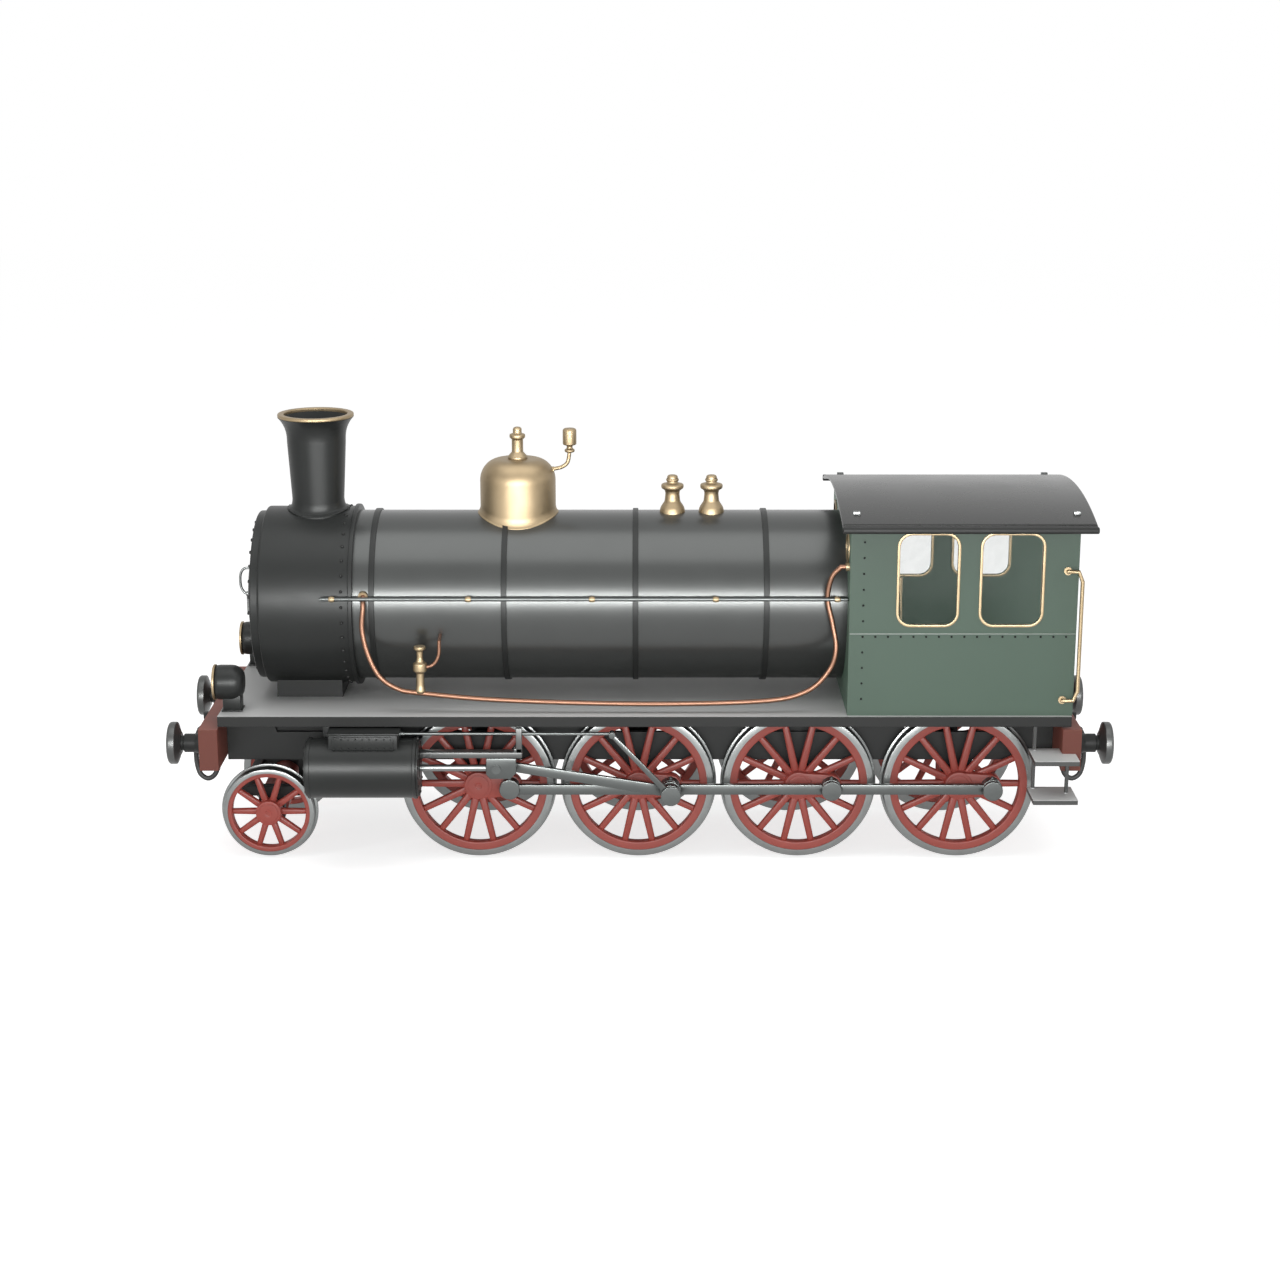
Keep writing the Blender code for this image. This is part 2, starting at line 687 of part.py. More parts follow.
def make_smokebox(root):
    """Hollow drum with a tubeplate behind, a front ring with the doorway and the hinge lugs."""
    inner = SMOKEBOX_R - SMOKEBOX_WALL
    plate = RING_FRONT_X + RING_THICK
    flange = BOILER_FRONT_X - SMOKEBOX_FLANGE_WIDTH
    profile = [(0, BOILER_FRONT_X), (SMOKEBOX_FLANGE_R, BOILER_FRONT_X), (SMOKEBOX_FLANGE_R, flange),
               (SMOKEBOX_R, flange), (SMOKEBOX_R, SMOKEBOX_FRONT_X), (RING_R, SMOKEBOX_FRONT_X),
               (RING_R, RING_FRONT_X), (DOORWAY_R, RING_FRONT_X), (DOORWAY_R, plate),
               (RING_R - SMOKEBOX_WALL, plate), (inner, SMOKEBOX_FRONT_X + SMOKEBOX_WALL),
               (inner, BOILER_FRONT_X - TUBEPLATE_THICK), (0, BOILER_FRONT_X - TUBEPLATE_THICK)]
    drum = turned(profile, "X", (0, 0, BOILER_Z), SHELL_SIDES)
    flue = cylinder(CHIMNEY_BORE_R, BOILER_Z + DOORWAY_R, BOILER_Z + SMOKEBOX_R + OVERRUN, "Z",
                    (CHIMNEY_X, 0, 0), TURNED_SIDES)
    cut(drum, flue)
    reach = STRAP_Z + STRAP_HALF + LUG_GAP
    high = reach + LUG_HALF + LUG_HALF
    hinge = (HINGE_X, HINGE_Y, 0)
    pin = cylinder(HINGE_PIN_R, BOILER_Z - high, BOILER_Z + high, "Z", hinge, SMALL_SIDES)
    x_range = (HINGE_X - HINGE_EYE_R, RING_FRONT_X + EMBED)
    y_range = (HINGE_Y - HINGE_EYE_R, HINGE_Y + HINGE_EYE_R)
    lugs = [box(x_range, y_range, (BOILER_Z + low, BOILER_Z + low + LUG_HALF + LUG_HALF))
            for low in (reach, -high)]
    fuse(drum, *lugs, pin)
    place(drum, "smokebox", "boiler_black", root)


def make_smokebox_door(body):
    """Dished door with two straps to the hinge pin and the dart with its handles."""
    back = RING_FRONT_X - SIDE_PLAY
    rim = back - DOOR_RIM
    profile = [(0, back), (DOOR_R, back), (DOOR_R, rim)]
    for step in range(1, ARC_STEPS):
        angle = math.pi / 2 * step / ARC_STEPS
        profile.append((DOOR_R * math.cos(angle), rim - DOOR_DISH * math.sin(angle)))
    front = rim - DOOR_DISH
    profile += [(DART_R, front), (DART_R, front - DART_LENGTH), (0, front - DART_LENGTH)]
    door = turned(profile, "X", (0, 0, BOILER_Z), SHELL_SIDES)
    hinge = (HINGE_X, HINGE_Y, 0)
    strap_x = (HINGE_X - STRAP_THICK, HINGE_X + STRAP_THICK)
    strap_y = (HINGE_Y - STRAP_REACH, HINGE_Y - EMBED)
    tools = []
    for centre in (BOILER_Z - STRAP_Z, BOILER_Z + STRAP_Z):
        heights = (centre - STRAP_HALF, centre + STRAP_HALF)
        tools.append(box(strap_x, strap_y, (heights[0] + EMBED, heights[1] - EMBED)))
        tools.append(cylinder(HINGE_EYE_R, *heights, "Z", hinge, PIN_SIDES))
    hub = (front - HANDLE_OUT, 0, BOILER_Z)
    tip = (front - HANDLE_OUT, 0, BOILER_Z - HANDLE_LENGTH)
    fuse(door, *tools, bar_between(hub, tip, HANDLE_R, SMALL_SIDES))
    cut(door, bore(HINGE_PIN_R, BOILER_Z - DOOR_R, BOILER_Z + DOOR_R, "Z", hinge, SMALL_SIDES))
    place(door, "smokebox_door", "boiler_black", body)


def make_chimney(root):
    """Tapered stack with a bell mouth, seated on the smokebox."""
    crown = BOILER_Z + SMOKEBOX_R
    foot = BOILER_Z + math.sqrt(SMOKEBOX_R ** 2 - CHIMNEY_SKIRT_R ** 2)
    low = foot - OVERRUN
    lip_grow = CHIMNEY_LIP_R - CHIMNEY_NECK_R
    lip_rise = CHIMNEY_LIP_Z - CHIMNEY_NECK_Z
    outer = [(CHIMNEY_SKIRT_R, low), (CHIMNEY_SKIRT_R, foot + CHIMNEY_SKIRT_RISE),
             (CHIMNEY_FOOT_R, crown + CHIMNEY_FOOT_RISE), (CHIMNEY_NECK_R, CHIMNEY_NECK_Z)]
    outer += [(CHIMNEY_NECK_R + grow * lip_grow, CHIMNEY_NECK_Z + rise * lip_rise)
              for rise, grow in CHIMNEY_LIP_SHARES]
    outer += [(CHIMNEY_LIP_R, CHIMNEY_LIP_Z), (CHIMNEY_LIP_R, CHIMNEY_TOP_Z)]
    inner = [(CHIMNEY_MOUTH_R, CHIMNEY_TOP_Z), (CHIMNEY_BORE_R, CHIMNEY_NECK_Z), (CHIMNEY_BORE_R, low)]
    stack = turned(outer + inner, "Z", (CHIMNEY_X, 0, 0), TURNED_SIDES, ring=True)
    cut(stack, smokebox_cutter())
    place(stack, "chimney", "boiler_black", root)


def make_dome(root):
    """Brass steam dome with the valve on its top and the whistle on its pipe."""
    low = BOILER_Z + math.sqrt(BOILER_R ** 2 - DOME_BASE_R ** 2)
    profile = [(0, low - OVERRUN), (DOME_BASE_R, low - OVERRUN), (DOME_BASE_R, low + DOME_BASE_RISE),
               (DOME_R, low + DOME_BASE_RISE + DOME_BASE_RISE)]
    height = DOME_TOP_Z - DOME_SHOULDER_Z
    flat = DOME_R - DOME_ROUND_R
    for step in range(ARC_STEPS + 1):
        angle = math.pi / 2 * step / ARC_STEPS
        profile.append((flat + DOME_ROUND_R * math.cos(angle), DOME_SHOULDER_Z + height * math.sin(angle)))
    profile.append((0, DOME_TOP_Z))
    dome = turned(profile, "Z", (DOME_X, 0, 0), TURNED_SIDES)
    foot = DOME_TOP_Z - EMBED
    valve = [(0, foot), (DOME_VALVE[0][0], foot), *DOME_VALVE[1:], (0, DOME_VALVE[-1][1])]
    whistle = [(0, WHISTLE[0][1]), *WHISTLE, (0, WHISTLE[-1][1])]
    route = smooth_route([(x, 0, z) for x, z in WHISTLE_PIPE], PIPE_STEPS)
    fuse(dome, turned(valve, "Z", (DOME_X, 0, 0), PIN_SIDES), tube(route, WHISTLE_PIPE_R, 1),
         turned(whistle, "Z", (WHISTLE_X, 0, 0), PIN_SIDES))
    cut(dome, boiler_shape(SEAT))
    place(dome, "steam_dome", "brass", root)


def make_safety_valves(root):
    """Two brass safety valves on the barrel."""
    for x, end in zip(SAFETY_X, ("front", "rear")):
        top = BOILER_Z + BOILER_R
        profile = [(0, top - OVERRUN), (SAFETY_TURN[0][0], top - OVERRUN)]
        profile += [(radius, top + rise) for radius, rise in SAFETY_TURN]
        profile.append((0, top + SAFETY_TURN[-1][1]))
        valve = turned(profile, "Z", (x, 0, 0), PIN_SIDES)
        cut(valve, boiler_shape(SEAT))
        place(valve, "safety_valve_" + end, "brass", root)


def make_handrails(root):
    """Long rail on stanchions with brass knobs."""
    rail = cylinder(RAIL_R, RAIL_FRONT_X, CAB_FRONT_X - SEAT, "X", (0, -RAIL_Y, RAIL_Z), SMALL_SIDES)
    tools = []
    lean = Vector((0, -RAIL_Y, RAIL_Z - BOILER_Z)).normalized()
    for x in KNOB_X:
        inner = Vector((x, 0, BOILER_Z)) + lean * (BOILER_R - OVERRUN)
        tools.append(bar_between(inner, (x, -RAIL_Y, RAIL_Z), STANCHION_R, SMALL_SIDES))
        tools.append(cylinder(KNOB_R, x - KNOB_R, x + KNOB_R, "X", (0, -RAIL_Y, RAIL_Z), SMALL_SIDES,
                              half_step=True))
    fuse(rail, *tools)
    cut(rail, boiler_shape(SEAT), smokebox_cutter())
    place_pair(rail, "handrail", "steel", root)


def make_feed_pipes(root):
    """Copper pipe from the cab to the barrel's front, with the brass check valve on it."""
    end = (CAB_FRONT_X - SEAT, PIPE_ROUTE[-1][1], PIPE_ROUTE[-1][2])
    pipe = tube(smooth_route(PIPE_ROUTE, PIPE_STEPS) + [Vector(end)], PIPE_R, 1)
    y = PIPE_ROUTE[7][1]
    valve = [(0, CHECK_TURN[0][1]), *CHECK_TURN, (0, CHECK_TURN[-1][1])]
    branch = smooth_route([(x, y, z) for x, z in CHECK_PIPE], PIPE_STEPS)
    fuse(pipe, turned(valve, "Z", (CHECK_X, y, 0), SMALL_SIDES), tube(branch, CHECK_PIPE_R, 1))
    cut(pipe, boiler_shape(SEAT))
    place_pair(pipe, "feed_pipe", "copper", root)


# Frames, saddle, firebox and footplate


def frame_outline():
    """Side view of a frame plate: horns below the boxes, humps up to the footplate."""
    front, rear = FRONT_BEAM_X + SEAT, REAR_BEAM_X - SEAT
    top = PLATE_BOTTOM - SEAT
    outline = [(front, FRAME_BOTTOM)]
    for x in AXLE_X:
        outline += [(x - HORN_HALF, FRAME_BOTTOM), (x - HORN_HALF, HORN_BOTTOM),
                    (x + HORN_HALF, HORN_BOTTOM), (x + HORN_HALF, FRAME_BOTTOM)]
    outline += [(rear, FRAME_BOTTOM), (rear, top), (rear - END_HUMP, top),
                (rear - END_HUMP - HUMP_TOP_HALF, FRAME_TOP)]
    for x in reversed(AXLE_X):
        middle = x - SPACING / 2
        outline += [(middle + HUMP_FOOT_HALF, FRAME_TOP), (middle + HUMP_TOP_HALF, top),
                    (middle - HUMP_TOP_HALF, top), (middle - HUMP_FOOT_HALF, FRAME_TOP)]
    outline += [(front + END_HUMP + HUMP_TOP_HALF, FRAME_TOP), (front + END_HUMP, top), (front, top)]
    return outline


def make_frames(root):
    """Plate frame with its axleboxes, bored for the axles."""
    plate = prism(frame_outline(), "Y", -FRAME_OUT, -FRAME_IN)
    boxes = [box((x - BOX_HALF, x + BOX_HALF), (-BOX_OUT, -BOX_IN), (BOX_BOTTOM, BOX_TOP)) for x in AXLE_X]
    fuse(plate, *boxes)
    bores = [bore(AXLE_R, -BOX_OUT - OVERRUN, -BOX_IN + OVERRUN, "Y", (x, 0, AXLE_Z), TURNED_SIDES)
             for x in AXLE_X]
    cut(plate, *bores)
    place_pair(plate, "main_frame", "frame_black", root)


def make_saddle(root):
    """Cast saddle between the frames, through the footplate and up to the smokebox."""
    inside = FRAME_IN - SEAT
    shell = BOILER_Z - math.sqrt(SMOKEBOX_R ** 2 - SADDLE_HALF ** 2)
    x_range = (SADDLE_FRONT_X, SADDLE_REAR_X)
    saddle = box(x_range, (-inside, inside), (FRAME_BOTTOM, PLATE_BOTTOM - SEAT))
    neck = box(x_range, (-SADDLE_HALF, SADDLE_HALF), (PLATE_BOTTOM - OVERRUN, shell))
    fuse(saddle, neck)
    cut(saddle, smokebox_cutter(), boiler_shape(SEAT))
    place(saddle, "saddle", "frame_black", root)


def make_firebox(root):
    """Firebox between the frames, with its neck up to the barrel inside the cab."""
    inside = FRAME_IN - SEAT
    shell = BOILER_Z - math.sqrt(BOILER_R ** 2 - inside ** 2)
    firebox = box((FIREBOX_FRONT_X, FIREBOX_REAR_X), (-inside, inside), (FRAME_BOTTOM, PLATE_BOTTOM - SEAT))
    neck_front = CAB_FRONT_X + CAB_WALL + SEAT
    fuse(firebox, box((neck_front, FIREBOX_REAR_X), (-inside, inside), (PLATE_BOTTOM - OVERRUN, shell)))
    cut(firebox, boiler_shape(SEAT))
    place(firebox, "firebox", "boiler_black", root)


def make_pivot_stretcher(root):
    """Stretcher between the frames with the pony truck's pin and nut."""
    inside = FRAME_IN - SEAT
    x_range = (PIVOT_X - PIVOT_STRETCHER_HALF, PIVOT_X + PIVOT_STRETCHER_HALF)
    beam = box(x_range, (-inside, inside), (FRAME_BOTTOM, PIVOT_STRETCHER_TOP))
    nut_top = TRUCK_BOTTOM - SEAT
    shoulder = TRUCK_TOP + SEAT
    profile = [(0, nut_top - PIVOT_NUT_DEPTH), (PIVOT_NUT_R, nut_top - PIVOT_NUT_DEPTH),
               (PIVOT_NUT_R, nut_top), (PIVOT_PIN_R, nut_top), (PIVOT_PIN_R, shoulder),
               (PIVOT_NUT_R, shoulder), (PIVOT_NUT_R, FRAME_BOTTOM + EMBED), (0, FRAME_BOTTOM + EMBED)]
    fuse(beam, turned(profile, "Z", (PIVOT_X, 0, 0), PIN_SIDES))
    place(beam, "pivot_stretcher", "frame_black", root)


def make_footplate(root):
    """Flat plate over the wheels with a deep valance on either side."""
    x_range = (FRONT_BEAM_X - PLATE_FRONT_GAP, REAR_BEAM_X + PLATE_REAR_REACH)
    plate = box(x_range, (-PLATE_HALF, PLATE_HALF), (PLATE_BOTTOM, PLATE_TOP))
    inner = PLATE_HALF - VALANCE_THICK
    for y_range in ((-PLATE_HALF, -inner), (inner, PLATE_HALF)):
        fuse(plate, box(x_range, y_range, (VALANCE_BOTTOM, PLATE_TOP)))
    heights = (PLATE_BOTTOM - OVERRUN, PLATE_TOP + OVERRUN)
    half = SADDLE_HALF + SEAT
    opening = box((SADDLE_FRONT_X - SEAT, SADDLE_REAR_X + SEAT), (-half, half), heights)
    fire_hole = box((CAB_FRONT_X + CAB_WALL, FIREBOX_REAR_X + SEAT), (-FRAME_IN, FRAME_IN), heights)
    cut(plate, opening, fire_hole)
    place(plate, "footplate", "footplate_grey", root)


# Beams, buffers, hoses, lamps and steps


def hook_outline(face, out):
    """Side view of a draw hook from a beam's face, towards out = -1 or 1."""
    tip = HOOK_REACH + HOOK_TIP
    shape = [(-EMBED, -HOOK_SHANK_HALF), (HOOK_REACH, -HOOK_SHANK_HALF), (tip, 0), (tip, HOOK_RISE),
             (HOOK_REACH, HOOK_RISE), (HOOK_REACH, HOOK_SHANK_HALF), (-EMBED, HOOK_SHANK_HALF)]
    return [(face + out * reach, BUFFER_Z + rise) for reach, rise in shape]


def make_end(root, end, inner, out):
    """Beam with its draw hook, two buffers and the brake hose of one end."""
    face = inner + out * BEAM_THICK
    beam = box(sorted((inner, face)), (-BEAM_HALF, BEAM_HALF), (BEAM_BOTTOM, BEAM_TOP))
    plate_half = HOOK_PLATE_HALF
    plate = box(sorted((face - out * EMBED, face + out * HOOK_PLATE_THICK)), (-plate_half, plate_half),
                (BUFFER_Z - plate_half, BUFFER_Z + plate_half))
    hook = prism(hook_outline(face, out), "Y", -HOOK_HALF_WIDTH, HOOK_HALF_WIDTH)
    fuse(beam, plate, hook)
    place(beam, "buffer_beam_" + end, "beam_red", root)
    total = BUFFER_SHANK_LENGTH + BUFFER_HEAD_LENGTH
    turn = [(0, SEAT), (BUFFER_COLLAR_R, SEAT), (BUFFER_COLLAR_R, BUFFER_COLLAR_LENGTH),
            (BUFFER_SHANK_R, BUFFER_COLLAR_LENGTH), (BUFFER_SHANK_R, BUFFER_SHANK_LENGTH),
            (BUFFER_NECK_R, BUFFER_SHANK_LENGTH), (BUFFER_HEAD_R, BUFFER_SHANK_LENGTH + BUFFER_FLARE),
            (BUFFER_HEAD_R, total - BUFFER_EDGE), (BUFFER_HEAD_R - BUFFER_EDGE, total), (0, total)]
    profile = [(radius, face + out * along) for radius, along in turn]
    buffer = turned(profile, "X", (0, -BUFFER_Y, BUFFER_Z), PIN_SIDES)
    place_pair(buffer, "buffer_" + end, "frame_black", root)
    low = BEAM_BOTTOM - SEAT
    points = smooth_route([(face + out * along, HOSE_Y, z) for along, z in HOSE_ROUTE], PIPE_STEPS)
    points.insert(0, Vector((face + out * SEAT, HOSE_Y, HOSE_ROUTE[0][1])))
    points.append(Vector((points[-1].x, HOSE_Y, low)))
    place(tube(points, HOSE_R, 1), "brake_hose_" + end, "rubber", root)


def make_lamps(root):
    """Round headlamp on its block, with the glass set back in the rim."""
    back = LAMP_FRONT_X + LAMP_LENGTH
    profile = [(0, LAMP_FRONT_X + LAMP_GLASS_DEPTH), (LAMP_GLASS_R, LAMP_FRONT_X + LAMP_GLASS_DEPTH),
               (LAMP_GLASS_R, LAMP_FRONT_X), (LAMP_R, LAMP_FRONT_X), (LAMP_R, back - LAMP_BACK_ROUND),
               (LAMP_BACK_R, back), (0, back)]
    lamp = turned(profile, "X", (0, -LAMP_Y, LAMP_Z), TURNED_SIDES)
    start = LAMP_FRONT_X + LAMP_BASE_FRONT
    base = box((start, start + LAMP_BASE_LENGTH), (-LAMP_Y - LAMP_BASE_HALF, -LAMP_Y + LAMP_BASE_HALF),
               (PLATE_TOP + SEAT, LAMP_Z - LAMP_BACK_R))
    fuse(lamp, base)
    place_pair(lamp, "lamp", "frame_black", root)


def make_steps(root):
    """Two treads on posts below the cab door, the upper one notched round the rear beam's end."""
    rear_post = REAR_BEAM_X + STEP_POST
    side = BEAM_HALF + SEAT
    upper = (STEP_UPPER_Z - STEP_THICK, STEP_UPPER_Z)
    lower = (STEP_LOWER_Z - STEP_THICK, STEP_LOWER_Z)
    tread = box((STEP_FRONT_X, STEP_REAR_X), (-STEP_OUT, -STEP_IN), upper)
    cut(tread, box((REAR_BEAM_X - SEAT, STEP_REAR_X + OVERRUN), (-side, 0), (lower[0], PLATE_TOP)))
    front = (STEP_FRONT_X + STEP_POST_FRONT, STEP_FRONT_X + STEP_POST_FRONT + STEP_POST)
    foot = lower[0] + EMBED
    fuse(tread, box((STEP_FRONT_X, STEP_REAR_X), (-STEP_OUT, -STEP_IN), lower),
         box(front, (-STEP_POST_IN - STEP_POST, -STEP_POST_IN), (foot, PLATE_BOTTOM - SEAT)),
         box((rear_post, rear_post + STEP_POST), (-side - STEP_POST, -side), (foot, upper[1] - EMBED)))
    place_pair(tread, "steps", "step_grey", root)


# Cab


def roof_height(y):
    """Height of the roof's outer face at a distance from the middle."""
    return ROOF_CROWN_Z - ROOF_R + math.sqrt(ROOF_R ** 2 - y ** 2)


def roof_stations():
    """Distances from the middle at which the roof's facets meet, left eave last."""
    return [ROOF_HALF - (ROOF_HALF + ROOF_HALF) * step / ROOF_STEPS for step in range(ROOF_STEPS + 1)]


def under_roof(y):
    """Height just below the roof's faceted underside."""
    stations = roof_stations()
    for outer, inner in zip(stations, stations[1:]):
        if inner <= y <= outer:
            break
    low, high = roof_height(outer), roof_height(inner)
    return low + (high - low) * (outer - y) / (outer - inner) - ROOF_THICK - SEAT


def window_cutter(x_range):
    """Round-cornered cutter of a side window."""
    outline = []
    left, right = x_range
    corners = ((right, WINDOW_TOP, 0), (left, WINDOW_TOP, 1), (left, WINDOW_BOTTOM, 2),
               (right, WINDOW_BOTTOM, 3))
    for x, z, quarter in corners:
        centre_x = x - WINDOW_CORNER_R if quarter in (0, 3) else x + WINDOW_CORNER_R
        centre_z = z - WINDOW_CORNER_R if quarter in (0, 1) else z + WINDOW_CORNER_R
        for step in range(ARC_STEPS + 1):
            angle = math.pi / 2 * (quarter + step / ARC_STEPS)
            outline.append((centre_x + WINDOW_CORNER_R * math.cos(angle),
                            centre_z + WINDOW_CORNER_R * math.sin(angle)))
    return prism(outline, "Y", -CAB_HALF - OVERRUN, -CAB_HALF + CAB_WALL + OVERRUN)


def make_cab_sides(root):
    """Cab side with two windows and the brass grab rail at its rear edge."""
    top = under_roof(CAB_HALF)
    side = box((CAB_FRONT_X, CAB_REAR_X), (-CAB_HALF, -CAB_HALF + CAB_WALL), (PLATE_TOP + SEAT, top))
    cut(side, *[window_cutter(x_range) for x_range in WINDOW_X])
    x, y = CAB_REAR_X + GRAB_BACK, -CAB_HALF - GRAB_OUT
    start = CAB_REAR_X - GRAB_REACH
    route = [(start, -CAB_HALF + EMBED, GRAB_LOW_Z), (start, y, GRAB_LOW_Z), (x - GRAB_OUT, y, GRAB_LOW_Z),
             (x, y, GRAB_LOW_Z + GRAB_BEND), (x, y, GRAB_HIGH_Z - GRAB_BEND), (x - GRAB_OUT, y, GRAB_HIGH_Z),
             (start, y, GRAB_HIGH_Z), (start, -CAB_HALF + EMBED, GRAB_HIGH_Z)]
    fuse(side, tube([Vector(point) for point in route], GRAB_R, 1))
    place_pair(side, "cab_side", "cab_green", root)


def make_cab_front(root):
    """Front wall round the barrel, with two round windows."""
    half = CAB_HALF - CAB_WALL - SEAT
    stations = [half] + [y for y in roof_stations() if abs(y) < half] + [-half]
    outline = [(-half, PLATE_TOP + SEAT), (half, PLATE_TOP + SEAT)]
    outline += [(y, under_roof(y)) for y in stations]
    wall = prism(outline, "X", CAB_FRONT_X, CAB_FRONT_X + CAB_WALL)
    tools = [boiler_shape(SEAT)]
    for y in (-SPECTACLE_Y, SPECTACLE_Y):
        tools.append(cylinder(SPECTACLE_R, CAB_FRONT_X - OVERRUN, CAB_FRONT_X + CAB_WALL + OVERRUN, "X",
                              (0, y, SPECTACLE_Z), TURNED_SIDES))
    cut(wall, *tools)
    place(wall, "cab_front", "cab_green", root)


def make_cab_roof(root):
    """Arched roof with round eave beads and four lifting lugs."""
    ys = roof_stations()
    outline = [(y, roof_height(y)) for y in ys] + [(y, roof_height(y) - ROOF_THICK) for y in reversed(ys)]
    roof = prism(outline, "X", ROOF_FRONT_X, ROOF_REAR_X)
    bead_z = roof_height(ROOF_HALF) - ROOF_THICK / 2
    tools = [cylinder(EAVE_R, ROOF_FRONT_X, ROOF_REAR_X, "X", (0, y, bead_z), SMALL_SIDES)
             for y in (-ROOF_HALF, ROOF_HALF)]
    for x in (ROOF_FRONT_X + ROOF_LUG_INSET, ROOF_REAR_X - ROOF_LUG_INSET):
        for y in (-ROOF_LUG_Y, ROOF_LUG_Y):
            foot = roof_height(y) - ROOF_THICK / 2
            tools.append(box((x - ROOF_LUG_HALF, x + ROOF_LUG_HALF), (y - ROOF_LUG_HALF, y + ROOF_LUG_HALF),
                             (foot, roof_height(y) + ROOF_LUG_RISE)))
    fuse(roof, *tools)
    place(roof, "cab_roof", "frame_black", root)


# Cylinders and valve rods


def make_cylinders(root):
    """Cylinder with covers, steam chest, frame bracket, slide bar on its hanger and valve rod."""
    centre = (0, -CYLINDER_Y, CYLINDER_Z)
    front, rear = CYLINDER_FRONT_X, CYLINDER_REAR_X
    hole = around(PISTON_ROD_R + FIT, TURNED_SIDES)
    profile = [(0, front), (COVER_R, front), (COVER_R, front + COVER_DEPTH),
               (CYLINDER_R, front + COVER_DEPTH), (CYLINDER_R, rear - COVER_DEPTH),
               (COVER_R, rear - COVER_DEPTH), (COVER_R, rear), (hole, rear),
               (hole, front + BORE_STOP), (0, front + BORE_STOP)]
    barrel = turned(profile, "X", centre, TURNED_SIDES, half_step=True)
    chest_rear = rear - CHEST_REAR
    chest_heights = (CYLINDER_Z + CHEST_FOOT, CHEST_TOP)
    chest = box((front + CHEST_FRONT, chest_rear), (-CHEST_OUT, -CHEST_IN), chest_heights)
    bracket_y = (-CHEST_IN - OVERRUN, -FRAME_OUT - SEAT)
    bracket = box((front + BRACKET_FRONT, rear - BRACKET_REAR), bracket_y, (FRAME_BOTTOM, BRACKET_TOP))
    bar_end = AXLE_X[1] + THROW - math.sqrt(MAIN_ROD_LENGTH ** 2 - RISE ** 2) + BAR_REAR
    bar_out = CROSSHEAD_OUT - BAR_INSET
    bar = box((rear - EMBED, bar_end), (-bar_out, -CROSSHEAD_IN - BAR_INSET), (BAR_BOTTOM, BAR_TOP))
    hanger = box((bar_end - HANGER_LENGTH, bar_end), (-bar_out, -HANGER_IN),
                 (BAR_TOP - EMBED, VALANCE_BOTTOM - SEAT))
    valve_end = AXLE_X[1] + THROW - VALVE_ROD_REACH
    valve_centre = (0, -VALVE_ROD_Y, VALVE_ROD_Z)
    valve_rod = cylinder(VALVE_ROD_R, chest_rear - EMBED, valve_end, "X", valve_centre, SMALL_SIDES)
    gland = cylinder(VALVE_GLAND_R, chest_rear - EMBED, chest_rear + VALVE_GLAND_LENGTH, "X", valve_centre,
                     SMALL_SIDES)
    knuckle = cylinder(ECCENTRIC_TOP_R, -ECCENTRIC_IN + SIDE_PLAY, -VALVE_ROD_Y + VALVE_ROD_R, "Y",
                       (valve_end, 0, VALVE_ROD_Z), SMALL_SIDES)
    fuse(barrel, bracket, chest, bar, hanger, valve_rod, gland, knuckle)
    place_pair(barrel, "cylinder", "frame_black", root)


# Wheelsets and pony truck


def spoke_shapes(count, hub_r, rim_r, root_width, tip_width, planes):
    """Tapered bars from the hub to the rim, one shape each."""
    low, high = planes
    inner, outer = hub_r - EMBED, rim_r + EMBED
    root, tip = root_width / 2, tip_width / 2
    outline = [(inner, -root), (outer, -tip), (outer, tip), (inner, root)]
    shapes = []
    for index in range(count):
        turn = Matrix.Rotation(math.tau * index / count, 4, "Y")
        shapes.append(moved(prism(outline, "Y", low, high), turn))
    return shapes


def rim_shape(flange_r, tread_r, rim_inner_r, sides):
    """Flanged tyre and rim of a left wheel, standing on a flat."""
    flange, tread = around(flange_r, sides), around(tread_r, sides)
    profile = [(rim_inner_r, -WHEEL_BACK), (flange, -WHEEL_BACK), (flange, -WHEEL_BACK - FLANGE_WIDTH),
               (tread, -WHEEL_BACK - FLANGE_WIDTH), (tread, -WHEEL_FACE), (rim_inner_r, -WHEEL_FACE)]
    return turned(profile, "Y", (0, 0, 0), sides, ring=True, half_step=True)


def pin_profile(end, collars):
    """Crank pin from the hub's face out to its end, with collars as (inner, outer) distances."""
    profile = [(0, -HUB_FACE + EMBED), (PIN_R, -HUB_FACE + EMBED)]
    for inner, outer in collars:
        profile += [(PIN_R, -inner), (PIN_COLLAR_R, -inner), (PIN_COLLAR_R, -outer), (PIN_R, -outer)]
    if collars[-1][1] == end:
        profile.pop()
    return profile + [(0, -end)]


def driving_wheel(end, collars):
    """Left driving wheel about the origin, with its crank towards +X."""
    wheel = rim_shape(FLANGE_R, TREAD_R, RIM_INNER_R, WHEEL_SIDES)
    planes = (-WHEEL_FACE + SPOKE_INSET, -WHEEL_BACK - SPOKE_INSET)
    spokes = spoke_shapes(SPOKES, HUB_R, RIM_INNER_R, SPOKE_ROOT_WIDTH, SPOKE_TIP_WIDTH, planes)
    hub_r = around(HUB_R, SPOKES)
    hub = cylinder(hub_r, -HUB_FACE, -WHEEL_BACK, "Y", (0, 0, 0), SPOKES, half_step=True)
    halves = (HUB_R * CRANK_SHARE, CRANK_R * CRANK_SHARE)
    web = rod_outline([(0, HUB_R - EMBED), (THROW, CRANK_R)], *halves, ARC_STEPS)
    crank = prism(web, "Y", -HUB_FACE, -WHEEL_BACK - SPOKE_INSET)
    pin = turned(pin_profile(end, collars), "Y", (THROW, 0, 0), PIN_SIDES)
    fuse(wheel, *spokes, hub, crank, pin)
    axle_bore = bore(AXLE_R, -HUB_FACE - OVERRUN, -WHEEL_BACK + OVERRUN, "Y", (0, 0, 0), TURNED_SIDES)
    return cut(wheel, axle_bore)


